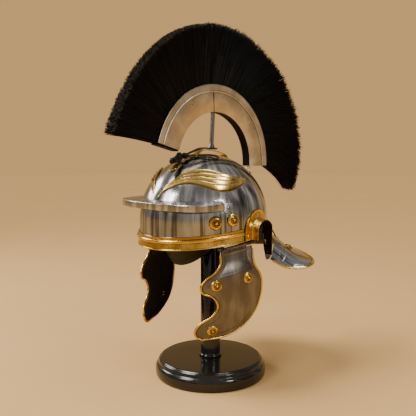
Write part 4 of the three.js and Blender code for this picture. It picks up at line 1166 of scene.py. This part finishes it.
# Each row: radius round the ear, place across where it stands off the skull, lift, and share of the turn back
EAR_PROFILE = ((35.5, None, 0.8, 0.45), (24, None, 0.9, 0.5), (20.9, None, 2.2, 1),
               (19.6, 112, 0, 1), (18.6, 119.5, 0, 1))
EAR_ROWS = 22


class HELMET_OT_ear_guards(bpy.types.Operator):
    """Shapes the brass flange and arch over each ear"""
    bl_idname = "helmet.ear_guards"
    bl_label = "Ear guards"

    def point(self, t, row, out):
        radius, x, off, rear = row
        r = radius + out * 0.5
        turn = math.pi * (1 - min(max(t, 0), 1))
        y, z = EAR_Y + r * math.cos(turn), EAR_Z + r * math.sin(turn)
        if t < 0:
            z = EAR_Z + t * (EAR_Z - rim_height(y) - 0.6)
        if t > 1:
            down = (t - 1) / 0.8
            z = EAR_Z + (229 - EAR_Z) * down
            y += 9 * down * rear - (6 * down if radius > 22 else 0)
        off = off + out * 1.2 + 0.9 * min(max(t - 0.6, 0), 0.7)
        if x is None:
            b = float(bearing_at(y, z, off))
            return (nape_point if b > EAR_AHEAD else on_skull)(b, z, off)[0], y, z
        return x - 9 * min(max(t - 0.85, 0), 1), y, z

    def execute(self, context):
        stations = [*np.linspace(-1, 0, 14)[:-1], *np.linspace(0, 1, 49), *np.linspace(1, 1.8, 18)[1:]]
        outer, inner = (np.stack([through([self.point(t, row, out) for row in EAR_PROFILE], EAR_ROWS)
                                  for t in stations]) for out in (1, 0))
        row = np.arange(EAR_ROWS)
        outer[:, :, 0] += 0.7 * np.exp(-((row - 1.1) / 0.7) ** 2)
        # Painted shade along the flange's outer edge and along a line near the middle of its profile.
        shade_marks = np.tile(0.8 * np.exp(-((row - 10.6) / 0.8) ** 2) + 0.7 * (row < 1), len(stations))
        both("ear_flange_{}", wall(outer, inner, inside=1), ("brass", "black_paint"), "ear_guard_{}", hollow=shade_marks)
        return {"FINISHED"}


class HELMET_OT_cheek_guards(bpy.types.Operator):
    """Beats out the two hinged cheek guards, with their edges and hinges"""
    bl_idname = "helmet.cheek_guards"
    bl_label = "Cheek guards"

    def execute(self, context):
        rows, cols = 90, 46
        front, rear = cheek_outline(2 * CHEEK_EDGING + GAP - 0.9, rows)
        w = np.linspace(0, 1, cols)[None, :, None]
        flat = front[:, None] * (1 - w) + rear[:, None] * w
        border = np.concatenate([front, rear[::-1]])
        away = np.sqrt(((flat[:, :, None] - border) ** 2).sum(-1)).min(-1)
        s, z = flat[..., 0], flat[..., 1]
        fold = z - 0.17 * s
        inside = smooth(away, 2.5, 9)
        upper = smooth(fold, 203.5, 206) * (1 - smooth(fold, 236, 243))
        drop = upper * (0.4 + 2.2 * smooth(fold, 205, 228))
        relief = 1.5 * smooth(away, 5.5, 9.5) * (1 - smooth(fold, 200, 225)) + 0.35 * np.exp(-((away - 4) / 1.2) ** 2)
        relief = relief - drop * inside
        plate = wall(cheek_point(s, z, CHEEK_WALL / 2 + relief), cheek_point(s, z, -CHEEK_WALL / 2 + relief * 0.9),
                     inside=1)
        # Painted shade next to the brass edging and along the crease of the fold.
        shade_marks = 0.9 * (1 - smooth(away, 0.2, 2.4)) + 0.25 * np.exp(-((fold - 204) / 0.9) ** 2)
        s0, s1 = 9.2, 53.4
        tongue = loft([[on_hinge(s, o, u) for o, u in ((-0.7, -2.2), (0.7, -2.2), (2.1, -7.4), (0.1, -7.4))]
                       for s in np.linspace(s0, s1, 9)])

        def barrel(first, last):
            line = [on_hinge(k) for k in np.linspace(first, last, 9)]
            round_end = np.array([2.5, 2.9, 3, 3, 3, 3, 3, 2.9, 2.5])
            line[1], line[-2] = on_hinge(first + 0.4), on_hinge(last - 0.4)
            return tube(line, round_end, 20)

        moving = together(plate, tongue, barrel(s0, 29.2), barrel(29.5, s1))
        front, rear = cheek_outline(CHEEK_EDGING, rows)
        line = np.concatenate([front[2:], rear[2:][::-1]])
        edge = tube(cheek_point(line[:, 0], line[:, 1]), CHEEK_EDGING)

        def bracket(first, last):
            leaf = []
            for s in np.linspace(first, last, 7):
                p = on_hinge(s)
                inner = float(np.dot(on_skull(bearing_at(p[1], 260, -2.65), 260, -2.65) - p, HINGE_OUT))
                leaf.append([on_hinge(s, inner - 1.4, -1), on_hinge(s, 0.5, -1), on_hinge(s, 0.5, 2.2),
                             on_hinge(s, inner, 2.4), on_hinge(s, inner, 14), on_hinge(s, inner - 1.4, 14)])
            return together(barrel(first, last), loft(leaf))

        pin = tube([on_hinge(k) for k in (-3.4, -2.6, 30, 73.4, 74.2)], [1.5, 1.9, 1.4, 1.9, 1.5])
        fixed = together(bracket(-2, 8.6), bracket(54, 73), pin)
        for side in SIDES:
            sided(*side, "cheek_plate_{}", moving, ("cheek_steel", "black_paint"), "cheek_guard_{}",
                  rides=CHEEK, hollow=shade_marks)
            sided(*side, "cheek_edge_{}", edge, "brass", "cheek_edging_{}", rides=CHEEK)
            sided(*side, "hinge_{}", fixed, "hinge_steel", "hinge_front_{}", "hinge_rear_{}", "hinge_pin_{}")
        return {"FINISHED"}


# Name, place and, where it differs, radius of each rosette and rivet
SKULL_ROSETTES = (("front", -78, 293.7, 11.4), ("rear", -48.2, 297.5, 11.0))
CHEEK_ROSETTES = (("front", -7.2, 190.8), ("rear", 51.4, 198.5), ("low", -9.6, 114.4))
NECK_ROSETTE, NECK_ROSETTE_SIZE, CHEEK_ROSETTE_SIZE = (0.215, 0.45), 8.2, 9.8
EAR_RIVETS, EAR_RIVET = (("top", 9, 302), ("front", -17, 268)), 2.6
CREST_RIVETS, CREST_RIVET, CREST_RIVET_R = (("front", 120.3), ("rear", 40)), 2.4, 116.8
BAR_RIVET_AT, BAR_RIVET = (70.2, 317.5), 2.7
RIVET_OFF, CREST_PLATE = 2.1, 9.5    # how far the rivets stand off the skull, and the plates off the middle
CHEEK_TAILS, CHEEK_TAIL = ((47, 137), (46, 131.5)), 1.5


class HELMET_OT_rosettes(bpy.types.Operator):
    """Sets out the domed rosettes, one mesh for each body"""
    bl_idname = "helmet.rosettes"
    bl_label = "Rosettes"

    def execute(self, context):
        lobes = context.scene.helmet_sizes.lobes
        shape = lathe([(r * 1000, h * 1000) for r, h in ROSETTE], 60, lobes, 0.018)
        far = np.linalg.norm(shape[0][:, :2], axis=1) / 1000
        # Painted shade in the two grooves of each rosette and round its edge.
        hollow = np.clip(sum(np.exp(-((far - at) / 0.075) ** 2) for at in (0.53, 0.29)), 0, 1)
        hollow = hollow + smooth(far, 0.9, 1.0) * 0.9
        helmet, nodes = [], []
        for side, sign in SIDES:
            for name, y, z, size in SKULL_ROSETTES:
                at = on_side(y, z, GAP)
                helmet.append(spot_on(at, skull_normal(at), size, sign))
                nodes.append(f"skull_rosette_{name}_{side}")
            u, v = NECK_ROSETTE
            at = neck_point(u, v)
            out = unit(np.cross(neck_point(u + 0.03, v) - at, neck_point(u, v + 0.1) - at))
            out = out if out[2] > 0 else -out
            helmet.append(spot_on(at + out * 1.1, out, NECK_ROSETTE_SIZE, sign, (1, 0, 0)))
            nodes.append(f"neck_rosette_{side}")
            cheek = [spot_on(cheek_point(s, z, CHEEK_WALL / 2 + GAP + 0.4), cheek_normal(s, z),
                             CHEEK_ROSETTE_SIZE, sign) for _, s, z in CHEEK_ROSETTES]
            set_out(f"cheek_rosettes_{side}", shape, cheek, "stud_brass",
                    *(f"cheek_rosette_{name}_{side}" for name, *_ in CHEEK_ROSETTES),
                    rides=CHEEK.format(side), hollow=hollow)
        set_out("rosettes", shape, helmet, "stud_brass", *nodes, hollow=hollow)
        return {"FINISHED"}


class HELMET_OT_rivets(bpy.types.Operator):
    """Sets the rivet heads, steel and brass"""
    bl_idname = "helmet.rivets"
    bl_label = "Rivets"

    def execute(self, context):
        shape = lathe([(r * 1000, h * 1000) for r, h in RIVET], 20)
        brass, steel, nodes = [], [], []
        for side, sign in SIDES:
            for name, y, z in EAR_RIVETS:
                at = on_side(y, z, RIVET_OFF)
                brass.append(spot_on(at, skull_normal(at), EAR_RIVET, sign))
                nodes.append(f"ear_rivet_{name}_{side}")
            at = on_skull(*BAR_RIVET_AT, RIVET_OFF)
            steel.append(spot_on(at, skull_normal(at), BAR_RIVET, sign))
            for name, angle in CREST_RIVETS:
                at = crest_point(CREST_RIVET_R, angle, CREST_PLATE)
                brass.append(spot_on(at, np.array([1, 0, 0]), CREST_RIVET, sign))
                nodes.append(f"crest_rivet_{name}_{side}")
            tails = [spot_on(cheek_point(s, z, -CHEEK_WALL / 2 + 0.9), -cheek_normal(s, z), CHEEK_TAIL, sign)
                     for s, z in CHEEK_TAILS]
            set_out(f"cheek_rivet_tails_{side}", shape, tails, "brass", rides=CHEEK.format(side))
        set_out("brass_rivets", shape, brass, "brass", *nodes)
        set_out("steel_rivets", shape, steel, "bar_steel", *(f"brow_guard_rivet_{side}" for side, _ in SIDES))
        return {"FINISHED"}


class HELMET_OT_crest_box(bpy.types.Operator):
    """Builds the crest box: side plates, raised outer bands, core and post"""
    bl_idname = "helmet.crest_box"
    bl_label = "Crest box"

    def execute(self, context):
        turn = np.radians(np.linspace(-90, 90, 9))
        half = [(CREST_BEAD + 1.7 * math.sin(t), 10.1 + math.cos(t)) for t in turn]
        inner = [(CREST_INNER, 8.3), (CREST_INNER, 9.2), (CREST_INNER + 0.4, CREST_PLATE),
                 (CREST_BEAD - 2.4, CREST_PLATE), (CREST_BEAD - 2.2, 8.3)]
        outer = [(CREST_BEAD - 2.1, 8.3), (CREST_BEAD - 2.1, 9.9), *half, (CREST_BEAD + 3, 10.15),
                 (CREST_OUTER - 1.6, 10.25), (CREST_OUTER - 0.5, 10.25), (CREST_OUTER, 9.9), (CREST_OUTER, 8.3)]

        def arc(section, end, steps, start=None, foot=CREST_FOOT):
            return loft([[crest_point(r, (1 - t) * (crest_foot(r, foot) if start is None else start) + t * end, x)
                          for r, x in section] for t in np.linspace(0, 1, steps)])

        plates = together(arc(inner, CREST_SEAM - 0.5, 72), arc(inner, CREST_FRONT, 72, start=CREST_SEAM + 0.5),
                          arc(outer, CREST_FRONT, 120))
        # Painted shade along the joints and grooves of the crest plates, one number for each point of the sections.
        shade_marks = np.concatenate([np.tile([0.6, 0.5, 0, 0.1, 0.9], 2 * 72),
                               np.tile([0.9, 0.9, 0.7, 0.2, *[0] * 5, 0.2, 0.8, 0, 0, 0.5, 0.6, 0.6], 120)])
        both("crest_plates_{}", plates, "crest_sheet", "crest_plate_rear_{}", "crest_plate_front_{}", hollow=shade_marks)
        core = [(CREST_INNER + 0.8, 8), (CREST_OUTER - 0.4, 8), (CREST_OUTER - 0.4, -8), (CREST_INNER + 0.8, -8)]
        piece("crest_filling", arc(core, CREST_FRONT + 1.4, 90, foot=CREST_FOOT + 1), "black_paint", "crest_core")

        bottom = np.array([0, 2, float(keeper_low(-6)) + KEEPER_THICK + GAP + 0.05])
        top = np.array([0, 6, CREST_Z + math.sqrt(CREST_INNER**2 - 9) - 0.4])
        flat = [(-1.9, -3.4), (-1.4, -4), (1.4, -4), (1.9, -3.4), (1.9, -0.7), (1.3, -0.2), (1.3, 0.2), (1.9, 0.7),
                (1.9, 3.4), (1.4, 4), (-1.4, 4), (-1.9, 3.4), (-1.9, 0.7), (-1.3, 0.2), (-1.3, -0.2), (-1.9, -0.7)]
        bar = []
        for t in (0, 0.02, 0.05, 0.09, 0.14, 0.2, 0.5, 0.9, 0.955, 0.965, 1):
            spread = 1 - smooth(t, 0, 0.16)
            p = bottom + (top - bottom) * t
            collar = 1.35 if t in (0.965, 1) else 1.0
            bar.append([p + (x * (1 + 0.3 * spread) * collar, y * (1 + spread), 0) for x, y in flat])
        piece("crest_bar", loft(bar), "bar_steel", "crest_post", sharp=25)

        rings = []
        for y in np.linspace(KEEPER_FROM, KEEPER_TO, 61):
            low, h, t = float(keeper_low(y)), KEEPER_HALF, KEEPER_THICK
            end = 0.75 + 0.25 * smooth(KEEPER_TO - abs(y - 1), 0, 8)
            rings.append([(x * end, y, low + up) for x, up in
                          ((-h, 0), (h, 0), (h, t - 0.4), (h - 0.5, t), (-h + 0.5, t), (-h, t - 0.4))])
        piece("crown_bridge", loft(rings), "brass", "crown_keeper")
        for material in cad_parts["crest_eyelet"].material_slots:
            material.material = FINISHES["brass"]
        return {"FINISHED"}


PLUME_PARTS = (("rear", 0.0, 0.36), ("top", 0.36, 0.68), ("front", 0.68, 1.0))
STRIP = 90


class HELMET_OT_plume(bpy.types.Operator):
    """Grows the black plume in three parts over a dark core"""
    bl_idname = "helmet.plume"
    bl_label = "Plume"

    def execute(self, context):
        sizes = context.scene.helmet_sizes
        inner = CREST_OUTER + GAP
        foot = float(crest_foot(CREST_OUTER)) + 0.6
        rings = []
        for t in np.linspace(0, 1, 170):
            lean, reach = tip_at(t)
            root = foot + (CREST_FRONT + 0.4 - foot) * t
            r = inner + (reach - inner) * 0.9
            side = [(share, x) for share, x in ((0, 7.2), (0.45, 8.6), (0.8, 8.6), (0.95, 6.2), (1, 3))]
            ring = [crest_point(inner + (r - inner) * k, root + (lean - root) * k, x) for k, x in side]
            rings.append(ring + [p * (-1, 1, 1) for p in ring[::-1]])
        piece("plume_core", loft(rings), "plume_core", "plume")
        tree = bristle_tree()
        for number, (name, first, last) in enumerate(PLUME_PARTS):
            u = np.linspace(first, last, STRIP)
            lean, reach = tip_at(u)
            root = foot + (CREST_FRONT + 0.4 - foot) * u
            points = np.concatenate([crest_point(inner, root, x) for x in (7.2, -7.2)])
            strip = bpy.data.meshes.new("strip")
            strip.from_pydata((points * MM).tolist(), [], quads(np.arange(2 * STRIP).reshape(2, STRIP)).tolist())
            ragged = 1 - smooth(u, 0.45, 0.75) * 0.8
            ends = np.minimum(u, 1 - u)
            mark(strip, "side", np.repeat([1.0, -1.0], STRIP))
            columns = {"reach": reach * MM, "tip": np.radians(lean), "root": np.radians(root),
                       "ragged": ragged + 0.2 * (1 - smooth(ends, 0, 0.04)), "lock": u * 150}
            for key, values in columns.items():
                mark(strip, key, np.tile(values, 2))
            area = sum(p.area for p in strip.polygons)
            item = use_tree(linked(f"bristles_{name}", strip), tree, Density=sizes.bristles / area,
                            Width=sizes.bristle_width, Parts=4, Seed=3 + number, Finish=FINISHES["black_bristle"])
            for face in item.data.polygons:
                face.use_smooth = True
            settle(item, "black_bristle")
        return {"FINISHED"}


PAD_HALF, PAD_TOP, PAD_HEM = 56, 300, 213             # half its bearing, its upper edge and its hem in front
PAD_SPACE, PAD_LOW_A, PAD_LOW_B = 3.2, 62, 65    # its distance from the skull, and its radii at the hem
STITCH_ROW = 37


class HELMET_OT_brow_pad(bpy.types.Operator):
    """Cuts the leather brow pad and stitches its edge"""
    bl_idname = "helmet.brow_pad"
    bl_label = "Brow pad"

    def execute(self, context):
        angle, v = np.meshgrid(np.linspace(-PAD_HALF, PAD_HALF, 81), np.linspace(0, 1, 41))
        hem = PAD_HEM + 27 * (angle / 54) ** 2
        z = PAD_TOP + (hem - PAD_TOP) * v
        puff = 1.2 * np.sin(np.pi * np.clip((PAD_HALF - np.abs(angle)) / PAD_HALF, 0, 1)) * np.sin(np.pi * v)
        puff = puff - 0.9 * np.exp(-((v - 0.93) / 0.012) ** 2)

        def grid(off):
            t = v**0.85
            a = SKULL_A - PAD_SPACE + (PAD_LOW_A - SKULL_A + PAD_SPACE) * t - off
            b = SKULL_B - PAD_SPACE + (PAD_LOW_B - SKULL_B + PAD_SPACE) * t - off
            turn = np.radians(angle)
            return np.stack([a * np.sin(turn), SKULL_Y - b * np.cos(turn), z], -1)

        middle = grid(1.0 - puff * 0.3)
        pad = piece("brow_pad_leather", wall(grid(-puff * 0.3), grid(2 - puff * 0.3)), "black_leather", "brow_pad")
        bar = tube([(-1.5, 0, 0), (-1.1, 0, 0.1), (1.1, 0, 0.1), (1.5, 0, 0)], [0.15, 0.35, 0.35, 0.15], 6)
        shape = (np.asarray(bar[0]) * 1000, bar[1], bar[2])
        spots = []
        for line, sign in ((grid(2.1)[STITCH_ROW], 1), (grid(-0.15)[STITCH_ROW], -1)):
            for p, q in zip(line[2:-2], line[3:-1]):
                spots.append(((p + q) / 2, unit([0, SKULL_Y, 0] - p * (1, 1, 0)) * sign, q - p, MM))
        set_out("brow_pad_stitches", shape, spots, "waxed_thread")
        return {"FINISHED"}


class HELMET_PT_panel(bpy.types.Panel):
    """Lists the sizes, the colours and the pieces"""
    bl_label = "Legionary helmet"
    bl_space_type = "VIEW_3D"
    bl_region_type = "UI"
    bl_category = "Helmet"

    def draw(self, context):
        for group in (context.scene.helmet_sizes, context.scene.helmet_colours):
            for name in group.__annotations__:
                self.layout.prop(group, name)
        for maker in MAKERS:
            self.layout.operator(maker.bl_idname)


MAKERS = (HELMET_OT_finishes, HELMET_OT_stage, HELMET_OT_laces, HELMET_OT_stand, HELMET_OT_skull,
          HELMET_OT_neck_guard, HELMET_OT_front_band, HELMET_OT_brow_guard, HELMET_OT_eyebrows,
          HELMET_OT_ear_guards, HELMET_OT_cheek_guards, HELMET_OT_rosettes, HELMET_OT_rivets,
          HELMET_OT_crest_box, HELMET_OT_plume, HELMET_OT_brow_pad)
CLASSES = (HelmetSizes, HelmetColours, *MAKERS, HELMET_PT_panel)


def register():
    for cls in CLASSES:
        bpy.utils.register_class(cls)
    bpy.types.Scene.helmet_sizes = bpy.props.PointerProperty(type=HelmetSizes)
    bpy.types.Scene.helmet_colours = bpy.props.PointerProperty(type=HelmetColours)


def unregister():
    del bpy.types.Scene.helmet_colours
    del bpy.types.Scene.helmet_sizes
    for cls in reversed(CLASSES):
        bpy.utils.unregister_class(cls)


def main():
    """Makes every piece in order."""
    register()
    for maker in MAKERS:
        group, name = maker.bl_idname.split(".")
        if getattr(getattr(bpy.ops, group), name)() != {"FINISHED"}:
            raise RuntimeError(f"{maker.bl_label} was not made")


if __name__ == "__main__":
    main()
